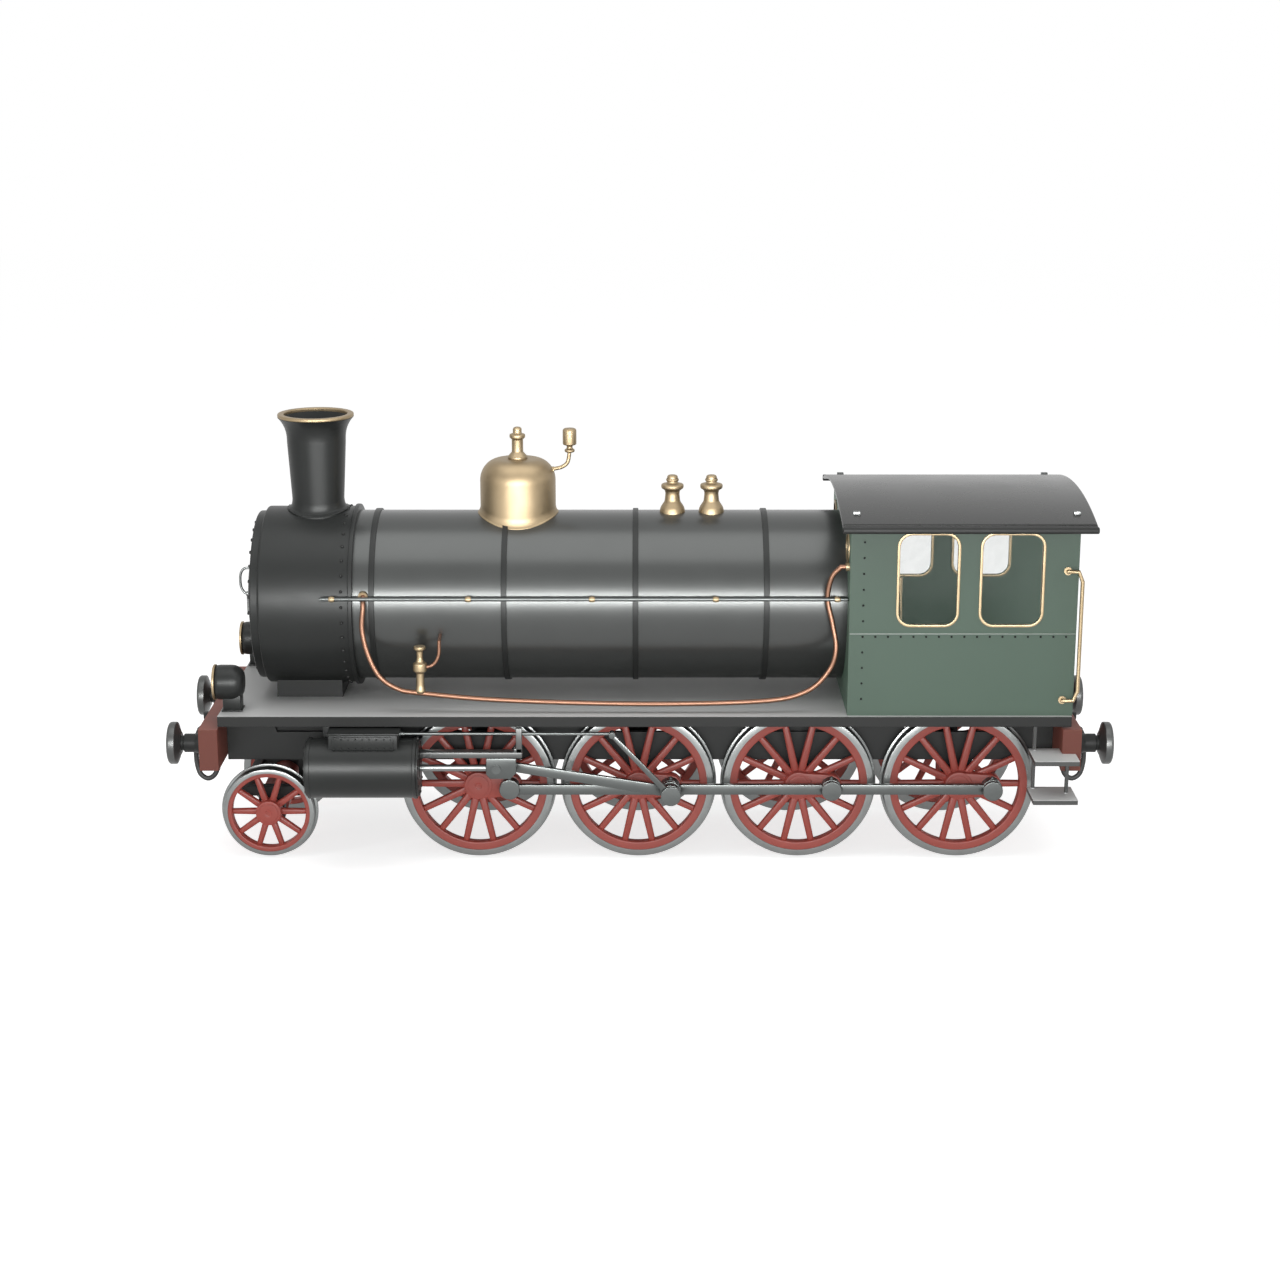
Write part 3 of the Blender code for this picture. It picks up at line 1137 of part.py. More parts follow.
def pony_wheel():
    """Left pony wheel about the origin."""
    wheel = rim_shape(PONY_FLANGE_R, PONY_TREAD_R, PONY_RIM_INNER_R, PONY_SIDES)
    planes = (-WHEEL_FACE + SPOKE_INSET, -WHEEL_BACK - SPOKE_INSET)
    spokes = spoke_shapes(PONY_SPOKES, PONY_HUB_R, PONY_RIM_INNER_R, PONY_SPOKE_ROOT_WIDTH,
                          PONY_SPOKE_TIP_WIDTH, planes)
    hub_r = around(PONY_HUB_R, PONY_SPOKES)
    hub = cylinder(hub_r, -PONY_HUB_FACE, -WHEEL_BACK, "Y", (0, 0, 0), PONY_SPOKES, half_step=True)
    fuse(wheel, *spokes, hub)
    low, high = -PONY_HUB_FACE - OVERRUN, -WHEEL_BACK + OVERRUN
    return cut(wheel, bore(PONY_JOURNAL_R, low, high, "Y", (0, 0, 0), TURNED_SIDES))


def place_wheels(wheel, number, body):
    """Place a left wheel, and the same wheel turned round and a quarter on at the right."""
    name = f"wheel_{number}"
    point = Vector(body["point"])
    place(moved(wheel, Matrix.Translation(point)), name + "_left", "wheel_red", body)
    right = bpy.data.objects.new(name + "_right", wheel.data)
    bpy.context.collection.objects.link(right)
    right.parent = body
    right.rotation_euler = (0, -math.pi / 2, math.pi)


def make_driving_wheelset(index, body):
    """Axle, wheels and crank pins of one driving axle."""
    if index == 1:
        collars = [(MAIN_ROD_OUT + SIDE_PLAY, ECCENTRIC_IN - SIDE_PLAY),
                   (ECCENTRIC_OUT + SIDE_PLAY, MAIN_PIN_END)]
    elif index == 0:
        collars = [(SIDE_ROD_OUT + SIDE_PLAY, MAIN_ROD_IN - SIDE_PLAY)]
    else:
        cap = SIDE_ROD_OUT + SIDE_PLAY
        collars = [(cap, cap + PIN_CAP)]
    end = collars[-1][1]
    place_wheels(driving_wheel(end, collars), str(index + 1), body)
    tip = HUB_FACE + JOURNAL_END
    axle = cylinder(AXLE_R, -tip, tip, "Y", (AXLE_X[index], 0, AXLE_Z), TURNED_SIDES)
    place(axle, f"axle_{index + 1}", "wheel_red", body)


def make_pony_wheelset(body):
    """Pony axle with its thick middle, and its two wheels."""
    place_wheels(pony_wheel(), "pony", body)
    tip = PONY_HUB_FACE + JOURNAL_END
    end = PONY_DRUM_END
    profile = [(0, -tip), (PONY_JOURNAL_R, -tip), (PONY_JOURNAL_R, -end), (PONY_DRUM_R, -end),
               (PONY_DRUM_R, end), (PONY_JOURNAL_R, end), (PONY_JOURNAL_R, tip), (0, tip)]
    place(turned(profile, "Y", (PONY_X, 0, PONY_Z), TURNED_SIDES), "axle_pony", "wheel_red", body)


def make_pony_truck(body):
    """Truck frame: arm with the pivot's eye, two cross bars, sides with axleboxes and a bolster."""
    heights = (TRUCK_BOTTOM, TRUCK_TOP)
    reach = PONY_DRUM_R + TRUCK_BAR_GAP
    rear = PONY_X + reach
    front = PONY_X - reach
    bar = TRUCK_BAR_HALF + TRUCK_BAR_HALF
    truck = box((rear, rear + bar), (-TRUCK_SIDE_OUT, TRUCK_SIDE_OUT), heights)
    foot = rear + EMBED
    bolster_heights = (TRUCK_TOP - EMBED, FRAME_BOTTOM - BOLSTER_CLEARANCE)
    tools = [box((front - bar, front), (-TRUCK_SIDE_OUT, TRUCK_SIDE_OUT), heights),
             box((foot, PIVOT_X), (-TRUCK_ARM_HALF, TRUCK_ARM_HALF), heights),
             cylinder(PIVOT_EYE_R, *heights, "Z", (PIVOT_X, 0, 0), TURNED_SIDES),
             box((foot, foot + BOLSTER_LENGTH), (-BOLSTER_HALF, BOLSTER_HALF), bolster_heights)]
    for low, high in ((-TRUCK_SIDE_OUT, -TRUCK_SIDE_IN), (TRUCK_SIDE_IN, TRUCK_SIDE_OUT)):
        tools.append(box((front - EMBED, rear + EMBED), (low, high), heights))
        tools.append(box((PONY_X - TRUCK_BOX_HALF, PONY_X + TRUCK_BOX_HALF), (low, high),
                         (TRUCK_BOX_BOTTOM, TRUCK_BOTTOM + EMBED)))
    fuse(truck, *tools)
    cut(truck, bore(PONY_JOURNAL_R, -TRUCK_SIDE_OUT - OVERRUN, TRUCK_SIDE_OUT + OVERRUN, "Y",
                    (PONY_X, 0, PONY_Z), TURNED_SIDES),
        bore(PIVOT_PIN_R, TRUCK_BOTTOM - OVERRUN, TRUCK_TOP + OVERRUN, "Z", (PIVOT_X, 0, 0), PIN_SIDES))
    place(truck, "pony_truck", "frame_black", body)


# Rods and crossheads


def crank_point(index, side):
    """Crank pin centre of an axle: at the rear on the left, at the top on the right."""
    shift = (THROW, 0) if side < 0 else (0, THROW)
    return AXLE_X[index] + shift[0], AXLE_Z + shift[1]


def gudgeon_x(side):
    """Crosshead pin's place along the locomotive, from the crank pin and the rod's length."""
    x, z = crank_point(1, side)
    return x - math.sqrt(MAIN_ROD_LENGTH ** 2 - (CYLINDER_Z - z) ** 2)


def between_planes(outline, side, inner, outer):
    """Prism between two distances from the middle, on one side."""
    low, high = sorted((side * inner, side * outer))
    return prism(outline, "Y", low, high)


def pin_bore(x, z):
    """Cutter for a rod's eye on a crank pin."""
    return bore(PIN_R, -BEAM_HALF - OVERRUN, BEAM_HALF + OVERRUN, "Y", (x, 0, z), PIN_SIDES)


def make_side_rod(side, name, body):
    """Side rod with its four eyes."""
    start, z = crank_point(0, side)
    eyes = [(crank_point(index, side)[0] - start, SIDE_EYE_R) for index in range(len(AXLE_X))]
    outline = rod_outline(eyes, SIDE_ROD_HALF, SIDE_ROD_HALF, ARC_STEPS)
    rod = between_planes([(start + a, z + b) for a, b in outline], side, SIDE_ROD_IN, SIDE_ROD_OUT)
    cut(rod, *[pin_bore(start + along, z) for along, _ in eyes])
    place(rod, "side_rod_" + name, "steel", body)


def tilted_rod(start, end, eyes, halves, side, planes):
    """Rod between two points, with an eye at either end."""
    length = math.dist(start, end)
    outline = rod_outline([(0, eyes[0]), (length, eyes[1])], *halves, ARC_STEPS)
    along = ((end[0] - start[0]) / length, (end[1] - start[1]) / length)
    placed = [(start[0] + a * along[0] - b * along[1], start[1] + a * along[1] + b * along[0])
              for a, b in outline]
    return between_planes(placed, side, *planes)


def make_main_rod(side, name, body):
    """Connecting rod from the crosshead to the main crank pin."""
    start, end = (gudgeon_x(side), CYLINDER_Z), crank_point(1, side)
    rod = tilted_rod(start, end, (MAIN_SMALL_EYE_R, MAIN_EYE_R), (MAIN_ROD_FRONT_HALF, MAIN_ROD_HALF), side,
                     (MAIN_ROD_IN, MAIN_ROD_OUT))
    edges = sorted((side * (MAIN_ROD_IN - EMBED), side * (CROSSHEAD_IN - SIDE_PLAY)))
    fuse(rod, cylinder(PIN_R * SMALL_PIN_SHARE, *edges, "Y", (start[0], 0, start[1]), PIN_SIDES))
    cut(rod, pin_bore(*end))
    place(rod, "connecting_rod_" + name, "steel", body)


def make_eccentric_rod(side, name, body):
    """Eccentric rod from the main crank pin's end up to the valve rod."""
    start = (AXLE_X[1] + THROW - VALVE_ROD_REACH, VALVE_ROD_Z)
    end = crank_point(1, side)
    rod = tilted_rod(start, end, (ECCENTRIC_TOP_R, ECCENTRIC_EYE_R), (ECCENTRIC_HALF, ECCENTRIC_HALF), side,
                     (ECCENTRIC_IN, ECCENTRIC_OUT))
    cut(rod, pin_bore(*end))
    place(rod, "eccentric_rod_" + name, "steel", body)


def make_crosshead(side, name, body):
    """Crosshead block below its slide bar, with the piston rod."""
    x = gudgeon_x(side)
    top = BAR_BOTTOM - SEAT
    low = CYLINDER_Z - BLOCK_HALF
    front, rear = x - BLOCK_FRONT, x + BLOCK_REAR
    outline = [(front, CYLINDER_Z - BLOCK_NOSE), (x, low), (rear, low), (rear, top), (front, top)]
    block = between_planes(outline, side, CROSSHEAD_IN, CROSSHEAD_OUT)
    centre = (0, side * CYLINDER_Y, CYLINDER_Z)
    rod = cylinder(PISTON_ROD_R, x - PISTON_ROD_LENGTH, front + EMBED, "X", centre, TURNED_SIDES)
    fuse(block, rod)
    place(block, "crosshead_" + name, "steel", body)


# Whole locomotive


def make_motion(root):
    """Bodies of the wheels and rods, each at its joint's axis, and their pieces."""
    axles = [add_body(f"body_axle_{index + 1}", (x, 0, AXLE_Z), root) for index, x in enumerate(AXLE_X)]
    for index, body in enumerate(axles):
        make_driving_wheelset(index, body)
    truck = add_body("body_pony_truck", (PIVOT_X, 0, TRUCK_TOP), root)
    make_pony_truck(truck)
    make_pony_wheelset(add_body("body_pony_axle", (PONY_X, 0, PONY_Z), truck))
    for side, name in ((-1, "left"), (1, "right")):
        x, z = crank_point(1, side)
        makers = (("side_rod", make_side_rod, SIDE_ROD_IN), ("connecting_rod", make_main_rod, MAIN_ROD_IN),
                  ("eccentric_rod", make_eccentric_rod, ECCENTRIC_IN))
        for kind, maker, plane in makers:
            maker(side, name, add_body(f"body_{kind}_{name}", (x, side * plane, z), axles[1]))
        slide = add_body(f"body_crosshead_{name}", (gudgeon_x(side), side * CYLINDER_Y, CYLINDER_Z), root)
        make_crosshead(side, name, slide)


def make_locomotive():
    """Build every piece of the locomotive."""
    clear_scene()
    root = add_body("body_root", (0, 0, 0))
    place(boiler_shape(), "boiler", "boiler_black", root)
    for maker in (make_smokebox, make_chimney, make_dome, make_safety_valves, make_handrails,
                  make_feed_pipes, make_frames, make_saddle, make_firebox, make_pivot_stretcher,
                  make_footplate, make_lamps, make_steps, make_cab_sides, make_cab_front,
                  make_cab_roof, make_cylinders):
        maker(root)
    make_end(root, "front", FRONT_BEAM_X, -1)
    make_end(root, "rear", REAR_BEAM_X, 1)
    make_smokebox_door(add_body("body_smokebox_door", (HINGE_X, HINGE_Y, BOILER_Z), root))
    make_motion(root)


make_locomotive()
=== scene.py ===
"""Looks of a small eight-coupled steam locomotive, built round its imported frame.

Metres, +Z up, front at -X, left side at -Y. Every piece sits at the origin with its place in its mesh.
"""

import logging
import math
from collections.abc import Callable, Iterable, Sequence
from dataclasses import dataclass, field
from enum import Enum

import bmesh
import bpy
from mathutils import Matrix, Vector


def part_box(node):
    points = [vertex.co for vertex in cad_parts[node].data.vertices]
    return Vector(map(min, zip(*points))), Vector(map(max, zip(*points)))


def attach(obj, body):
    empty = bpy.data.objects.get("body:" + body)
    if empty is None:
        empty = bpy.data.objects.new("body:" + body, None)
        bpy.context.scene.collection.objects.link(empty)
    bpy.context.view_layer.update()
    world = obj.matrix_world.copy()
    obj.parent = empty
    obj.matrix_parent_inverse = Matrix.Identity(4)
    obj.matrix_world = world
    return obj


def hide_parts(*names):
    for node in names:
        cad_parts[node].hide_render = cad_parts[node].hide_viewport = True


Point = tuple[float, float, float]
Pair = tuple[float, float]
Outline = Sequence[Pair]
Colour = tuple[float, float, float]

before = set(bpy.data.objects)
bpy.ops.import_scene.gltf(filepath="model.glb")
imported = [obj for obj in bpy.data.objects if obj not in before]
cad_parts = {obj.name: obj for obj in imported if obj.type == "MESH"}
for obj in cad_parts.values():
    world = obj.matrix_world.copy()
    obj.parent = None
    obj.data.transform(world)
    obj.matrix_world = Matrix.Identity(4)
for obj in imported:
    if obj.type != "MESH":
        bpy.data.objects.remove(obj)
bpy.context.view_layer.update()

LOG = logging.getLogger("locomotive")
ROOT = "locomotive"

MERGE = 0.00002          # points closer than this are one point
SEAT = 0.0003            # gap that touching pieces keep
EMBED = 0.004            # how deep a fitting sinks into what carries it
SHARP = math.radians(35)
QUARTER = math.pi / 2
FULL = 128               # sides of the largest round pieces
ROUND = 64
SMALL = 32
FINE = 16
RIVET_SIDES = 10

BARREL_R = 0.867
BARREL_CROWN = 3.470
SMOKEBOX_R = 0.908
BOILER_Z = 2.603
BOILER_AXIS = (0, 0, BOILER_Z)
HINGE = (-3.955, 0.670)          # X and Y of the smokebox door's hinge
HINGE_EYE = 0.040
STRAP_Z = 0.260                  # height of the door's straps from its middle
CRANK_THROW = 0.324
CYLINDER_Y = 1.140
CYLINDER_Z = 1.085
BEAM_FACE = 4.410
BUFFER_Y = 0.860
TREAD_TOPS = ((0.8345, 0.8460), (1.2395, 1.2500))
PLATE_TOP = 1.6155
CAB_FRONT = 2.0697


class Side(Enum):
    """Side of the locomotive, as the sign of Y."""

    LEFT = -1
    RIGHT = 1

    @property
    def label(self) -> str:
        """Word for this side in a piece's name."""
        return self.name.lower()

    def span(self, ys: Pair) -> Pair:
        """Low and high Y on this side of two distances from the middle."""
        return tuple(sorted(self.value * y for y in ys))


class End(Enum):
    """End of the locomotive, as the sign of X."""

    FRONT = -1
    REAR = 1

    @property
    def label(self) -> str:
        """Word for this end in a piece's name."""
        return self.name.lower()


GUDGEON_X = {Side.LEFT: -1.440, Side.RIGHT: -1.7876}


class Value:
    """A shader socket that takes part in Python sums."""

    def __init__(self, tree: "Tree", socket: bpy.types.NodeSocket | None) -> None:
        """Keep the socket and the tree that owns it."""
        self.tree = tree
        self.socket = socket

    def __add__(self, other: "Value | float") -> "Value":
        """Sum as a Math node."""
        return self.tree.math("ADD", self, other)

    __radd__ = __add__

    def __sub__(self, other: "Value | float") -> "Value":
        """Difference as a Math node."""
        return self.tree.math("SUBTRACT", self, other)

    def __rsub__(self, other: float) -> "Value":
        """Difference from a number as a Math node."""
        return self.tree.math("SUBTRACT", other, self)

    def __mul__(self, other: "Value | float") -> "Value":
        """Product as a Math node."""
        return self.tree.math("MULTIPLY", self, other)

    __rmul__ = __mul__

    def __gt__(self, other: "Value | float") -> "Value":
        """1 where this is greater, else 0."""
        return self.tree.math("GREATER_THAN", self, other)

    def __lt__(self, other: "Value | float") -> "Value":
        """1 where this is less, else 0."""
        return self.tree.math("LESS_THAN", self, other)

    def clamped(self) -> "Value":
        """This value held between 0 and 1."""
        return self.tree.node("ShaderNodeClamp", {}, {"Value": self})


class Tree:
    """Nodes of a material or a world under construction."""

    def __init__(self, owner: bpy.types.Material | bpy.types.World) -> None:
        """Start with no nodes."""
        owner.use_nodes = True
        self.owner = owner
        self.tree = owner.node_tree
        self.tree.nodes.clear()

    def node(self, kind: str, settings: dict, sockets: dict, output: int | str = 0) -> Value:
        """Add a node, set it up and link it.

        Args:
            kind: Blender's name of the node type.
            settings: Properties of the node, set first.
            sockets: Values or links of its inputs, by name or number.
            output: Which output to return.

        Returns:
            The chosen output, empty for a node that has none.
        """
        made = self.tree.nodes.new(kind)
        for key, value in settings.items():
            setattr(made, key, value)
        for key, value in sockets.items():
            self.feed(made.inputs[key], value)
        return Value(self, made.outputs[output] if len(made.outputs) else None)

    def feed(self, socket: bpy.types.NodeSocket, value: "Value | float | Sequence[float]") -> None:
        """Link a value to a socket, or set the socket's own number or colour.

        Args:
            socket: The input to feed.
            value: A value to link, or a constant.
        """
        if isinstance(value, Value):
            self.tree.links.new(value.socket, socket)
        elif isinstance(value, (int, float)):
            socket.default_value = value
        else:
            filled = (*value, 1.0)
            socket.default_value = filled[:len(socket.default_value)]

    def math(self, operation: str, first: "Value | float", second: "Value | float" = 0.0) -> Value:
        """Math node on two numbers."""
        return self.node("ShaderNodeMath", {"operation": operation}, {0: first, 1: second})

    def seen(self) -> Value:
        """1 for rays of the camera, of gloss and through glass, else 0."""
        camera, gloss, through = (self.node("ShaderNodeLightPath", {}, {}, f"Is {kind} Ray")
                                  for kind in ("Camera", "Glossy", "Transmission"))
        return self.math("MAXIMUM", self.math("MAXIMUM", camera, gloss), through)

    def show(self, surface: Value) -> None:
        """Send a shader to the owner's output."""
        kind = "World" if isinstance(self.owner, bpy.types.World) else "Material"
        self.node(f"ShaderNodeOutput{kind}", {}, {"Surface": surface})


class Shader(Tree):
    """Material with a Principled shader, on object coordinates."""

    def __init__(self, name: str) -> None:
        """Start a material of this name."""
        super().__init__(bpy.data.materials.new(name))
        self.place = self.node("ShaderNodeTexCoord", {}, {}, "Object")

    def along(self, axis: str) -> Value:
        """One object coordinate, by its letter."""
        return self.node("ShaderNodeSeparateXYZ", {}, {"Vector": self.place}, axis)

    def noise(self, scale: float, detail: float = 3.0, stretch: Point = (1.0, 1.0, 1.0)) -> Value:
        """Noise from 0 to 1 over the object.

        Args:
            scale: Waves per metre.
            detail: Number of finer layers.
            stretch: Factor on each coordinate, small along streaks.

        Returns:
            The noise's value.
        """
        mapped = self.node("ShaderNodeMapping", {}, {"Vector": self.place, "Scale": stretch})
        return self.node("ShaderNodeTexNoise", {}, {"Vector": mapped, "Scale": scale, "Detail": detail})

    def mix(self, share: "Value | float", first: "Value | Colour", second: "Value | Colour") -> Value:
        """Mix of two colours by a share of the second."""
        return self.node("ShaderNodeMix", {"data_type": "RGBA"}, {0: share, 6: first, 7: second}, 2)

    def bump(self, height: Value, strength: float, distance: float) -> Value:
        """Normal bent by a height."""
        return self.node("ShaderNodeBump", {}, {"Strength": strength, "Distance": distance, "Height": height})

    def dress(self, **inputs: "Value | float | Colour") -> bpy.types.Material:
        """Show a Principled shader.

        Args:
            **inputs: Its inputs; a name's underscores stand for spaces.

        Returns:
            The material.
        """
        named = {name.replace("_", " ").title().replace("Ior", "IOR"): value
                 for name, value in inputs.items()}
        self.show(self.node("ShaderNodeBsdfPrincipled", {}, named))
        return self.owner


@dataclass(frozen=True)
class Surface:
    """What a piece's faces are made of, as one material."""

    name: str

    def material(self) -> bpy.types.Material:
        """This surface's material, built once."""
        label = f"{self.name}_finish"
        return bpy.data.materials.get(label) or self.dressed(Shader(label))

    def dressed(self, shader: Shader) -> bpy.types.Material:
        """Give a shader this surface's look."""
        raise NotImplementedError


@dataclass(frozen=True)
class Finish(Surface):
    """Paint or metal of a surface, with the variation that it shows."""

    slot: str
    colour: Colour
    roughness: float
    metallic: float = 0.0
    coat: float = 0.0
    shade: Colour = (0.0, 0.0, 0.0)      # colour of the darker patches
    patches: float = 0.12                # how strong the patches are
    patch_scale: float = 1.6
    grain: float = 0.06                  # strength of the fine bump
    grain_scale: float = 180.0
    grain_depth: float = 0.0006
    stretch: Point = (1.0, 1.0, 1.0)
    gloss_change: float = 0.10
    gloss: float = 0.5                   # specular level

    def colours(self, shader: Shader) -> Value:
        """Base colour with its soft patches."""
        patches = shader.noise(self.patch_scale, 4.0, self.stretch)
        share = ((patches - 0.42) * 4.0).clamped() * self.patches
        return shader.mix(share, self.colour, self.shade)

    def dressed(self, shader: Shader) -> bpy.types.Material:
        """Give a shader this finish.

        Args:
            shader: An empty shader.

        Returns:
            Its material.
        """
        fine = shader.noise(self.grain_scale, 2.0, self.stretch)
        wide = shader.noise(self.patch_scale * 3.0, 3.0, self.stretch)
        return shader.dress(base_color=self.colours(shader), metallic=self.metallic, coat_weight=self.coat,
                            specular_ior_level=self.gloss,
                            roughness=(wide - 0.5) * self.gloss_change + self.roughness,
                            normal=shader.bump(fine, self.grain, self.grain_depth))


@dataclass(frozen=True)
class LayeredFinish(Finish):
    """Paint with a second colour where a rule on the object's place says so."""

    second: Colour = (0.0, 0.0, 0.0)
    rule: Callable[[Shader], Value] = field(default=lambda shader: shader.along("Z") > 0.0)

    def colours(self, shader: Shader) -> Value:
        """Base colour, with the second one where the rule holds."""
        return shader.mix(self.rule(shader), super().colours(shader), self.second)


@dataclass(frozen=True)
class Glass(Surface):
    """Slightly frosted window glass."""

    name: str = "window_glass"
    tint: Colour = (0.42, 0.56, 0.48)
    roughness: float = 0.20
    cover: float = 0.05
    frost: float = 0.06

    def dressed(self, shader: Shader) -> bpy.types.Material:
        """Give a shader the look of this glass."""
        frost = shader.noise(9.0, 2.0) * self.frost
        return shader.dress(base_color=self.tint, alpha=frost + self.cover, roughness=frost + self.roughness)


def on_treads(height: Value) -> Value:
    """1 on the tops of the two step treads, from their heights."""
    lower, upper = ((height > low) * (height < high) for low, high in TREAD_TOPS)
    return (lower + upper).clamped()


def paint(name: str, slot: str, colour: Colour, roughness: float, **facts: object) -> Finish:
    """Painted finish whose patches are a darker shade of its own colour."""
    return Finish(name, slot, colour, roughness, shade=tuple(part * 0.72 for part in colour), **facts)


BOILER_BLACK = paint("boiler_black", "boiler_black", (0.076, 0.080, 0.078), 0.29, metallic=0.5,
                     gloss_change=0.05)
SMOKEBOX_BLACK = paint("smokebox_black", "boiler_black", (0.031, 0.033, 0.032), 0.40, metallic=0.2, gloss=0.2,
                       patches=0.25)
RIVET_BLACK = paint("rivet_black", "boiler_black", (0.012, 0.013, 0.012), 0.55, gloss=0.3)
FRAME_BLACK = paint("frame_black", "frame_black", (0.026, 0.028, 0.027), 0.50, gloss=0.2)
GEAR_BLACK = paint("gear_black", "frame_black", (0.095, 0.098, 0.096), 0.38, metallic=0.6)
CAB_GREEN = paint("cab_green", "cab_green", (0.118, 0.190, 0.140), 0.50, gloss=0.25, patches=0.16,
                  patch_scale=0.9)
WHEEL_RED = paint("wheel_red", "wheel_red", (0.520, 0.098, 0.074), 0.45, gloss=0.3, patches=0.15,
                  patch_scale=3.0)
ROOF_GREY = paint("roof_grey", "boiler_black", (0.028, 0.029, 0.028), 0.27, gloss=0.42, patch_scale=0.8)
RUBBER = paint("rubber", "rubber", (0.020, 0.021, 0.020), 0.60, grain=0.2)
RIVET_GREEN = paint("rivet_green", "cab_green", (0.010, 0.015, 0.012), 0.60, gloss=0.2)
TRIM_GREEN = paint("trim_green", "cab_green", (0.300, 0.370, 0.320), 0.45)
COLLAR_GREY = paint("collar_grey", "frame_black", (0.380, 0.390, 0.385), 0.45)
STEEL = Finish("steel", "steel", (0.092, 0.098, 0.096), 0.34, metallic=1.0, shade=(0.068, 0.073, 0.072),
               patches=0.35, patch_scale=5.0, stretch=(0.3, 1.0, 1.0), grain=0.05, grain_scale=260.0)
BRIGHT_STEEL = Finish("bright_steel", "steel", (0.190, 0.198, 0.195), 0.32, metallic=1.0,
                      shade=(0.140, 0.146, 0.144), patches=0.3, patch_scale=6.0)
BRASS = Finish("brass", "brass", (0.290, 0.225, 0.140), 0.46, metallic=1.0, shade=(0.200, 0.150, 0.086),
               patches=0.35, patch_scale=3.5, grain=0.03, grain_scale=240.0)
COPPER = Finish("copper", "copper", (0.180, 0.098, 0.066), 0.44, metallic=1.0, shade=(0.170, 0.090, 0.058),
                patches=0.4, patch_scale=4.0, grain=0.04)
LAMP_LENS = Finish("lamp_lens", "steel", (0.620, 0.640, 0.620), 0.12, metallic=0.6,
                   shade=(0.400, 0.420, 0.410), patches=0.2, grain=0.02)
BEAM_PAINT = LayeredFinish("beam_paint", "beam_red", (0.235, 0.070, 0.050), 0.50, gloss=0.2,
                           shade=(0.176, 0.056, 0.040), patches=0.2, second=(0.045, 0.046, 0.045),
                           rule=lambda shader: shader.math("ABSOLUTE", shader.along("X")) > BEAM_FACE + 0.024)
# Footplate: black valance with a pale grey top; the top's grey is raised further as painted light, making up
# for the boiler's shade on it
PLATE_PAINT_WITH_PAINTED_LIGHT = LayeredFinish("plate_paint", "footplate_grey", (0.020, 0.021, 0.020), 0.50, gloss=0.2,
                            shade=(0.030, 0.032, 0.030), second=(0.600, 0.606, 0.600),
                            rule=lambda shader: shader.along("Z") > PLATE_TOP)
# Steps: dark posts with pale treads; the tread tops are lightened further as painted light, making up for the
# footplate's shade over them
STEP_PAINT_WITH_PAINTED_LIGHT = LayeredFinish("step_paint", "step_grey", (0.042, 0.044, 0.042), 0.50,
                           shade=(0.030, 0.031, 0.030), second=(0.720, 0.730, 0.722),
                           rule=lambda shader: on_treads(shader.along("Z")))
GLASS = Glass()


def solid(*points: Pair) -> list[Pair]:
    """Profile that starts and ends on the axis, level with its first and last point."""
    return [(0, points[0][1]), *points, (0, points[-1][1])]


def rounded(profile: Outline, radius: float, steps: int = 4) -> list[Pair]:
    """Round a line's inner corners.

    Args:
        profile: Corner points in order.
        radius: Distance from a corner at which its curve starts, less beside short sides.
        steps: Steps of each curve.

    Returns:
        The line with its corners curved.
    """
    if not radius:
        return list(profile)
    points = [Vector(point) for point in profile]
    curved = [points[0]]
    for before, corner, after in zip(points, points[1:], points[2:]):
        back, ahead = before - corner, after - corner
        reach = min(radius, back.length * 0.45, ahead.length * 0.45)
        start, end = corner + back.normalized() * reach, corner + ahead.normalized() * reach
        curved += [start.lerp(corner, step / steps).lerp(corner.lerp(end, step / steps), step / steps)
                   for step in range(steps + 1)]
    return [tuple(point) for point in (*curved, points[-1])]


def looped(points: Outline, radius: float) -> list[Pair]:
    """Loop with all its corners but the first one curved."""
    return rounded([*points, points[0]], radius)[:-1]


def ellipse(centre: Pair, reach: float, rise: float, steps: int) -> list[Pair]:
    """Quarter of an ellipse.

    Args:
        centre: Its middle, as (radius, along).
        reach: From the middle to its first point, across.
        rise: From the middle to its last point, along.
        steps: Number of steps.

    Returns:
        Its points, with both ends.
    """
    turns = [QUARTER * step / steps for step in range(steps + 1)]
    return [(centre[0] + reach * math.cos(turn), centre[1] + rise * math.sin(turn)) for turn in turns]


def arc(centre: Pair, radius: float, start: float, end: float, steps: int) -> list[Pair]:
    """Points along a circle, with both ends; angles in quarters of a turn."""
    turns = [(start + (end - start) * step / steps) * QUARTER for step in range(steps + 1)]
    return [(centre[0] + radius * math.cos(turn), centre[1] + radius * math.sin(turn)) for turn in turns]


def circle(count: int, reach: float, start: float = 0.0) -> list[Pair]:
    """Points evenly round a circle, from a starting angle."""
    angles = [start + math.tau * index / count for index in range(count)]
    return [(reach * math.cos(angle), reach * math.sin(angle)) for angle in angles]


def rounded_box(x: Pair, z: Pair, radius: float, grow: float = 0.0, steps: int = 8) -> list[Pair]:
    """Outline of a rectangle with round corners.

    Args:
        x: Its low and high x.
        z: Its low and high z.
        radius: Radius of its corners.
        grow: How far its sides move out, with the corners' middles kept.
        steps: Steps of each corner.

    Returns:
        Its points.
    """
    centres = ((x[1] - radius, z[1] - radius), (x[0] + radius, z[1] - radius),
               (x[0] + radius, z[0] + radius), (x[1] - radius, z[0] + radius))
    return [point for quarter, centre in enumerate(centres)
            for point in arc(centre, radius + grow, quarter, quarter + 1, steps)]


def link_outline(start: Pair, start_r: float, end: Pair, end_r: float) -> list[Pair]:
    """Outline round two circles, joined by their common tangents."""
    way = Vector(end) - Vector(start)
    heading = math.atan2(way.y, way.x) / QUARTER
    lean = math.acos((start_r - end_r) / way.length) / QUARTER
    return [*arc(end, end_r, heading - lean, heading + lean, FINE),
            *arc(start, start_r, heading + lean, heading + 4 - lean, FINE)]


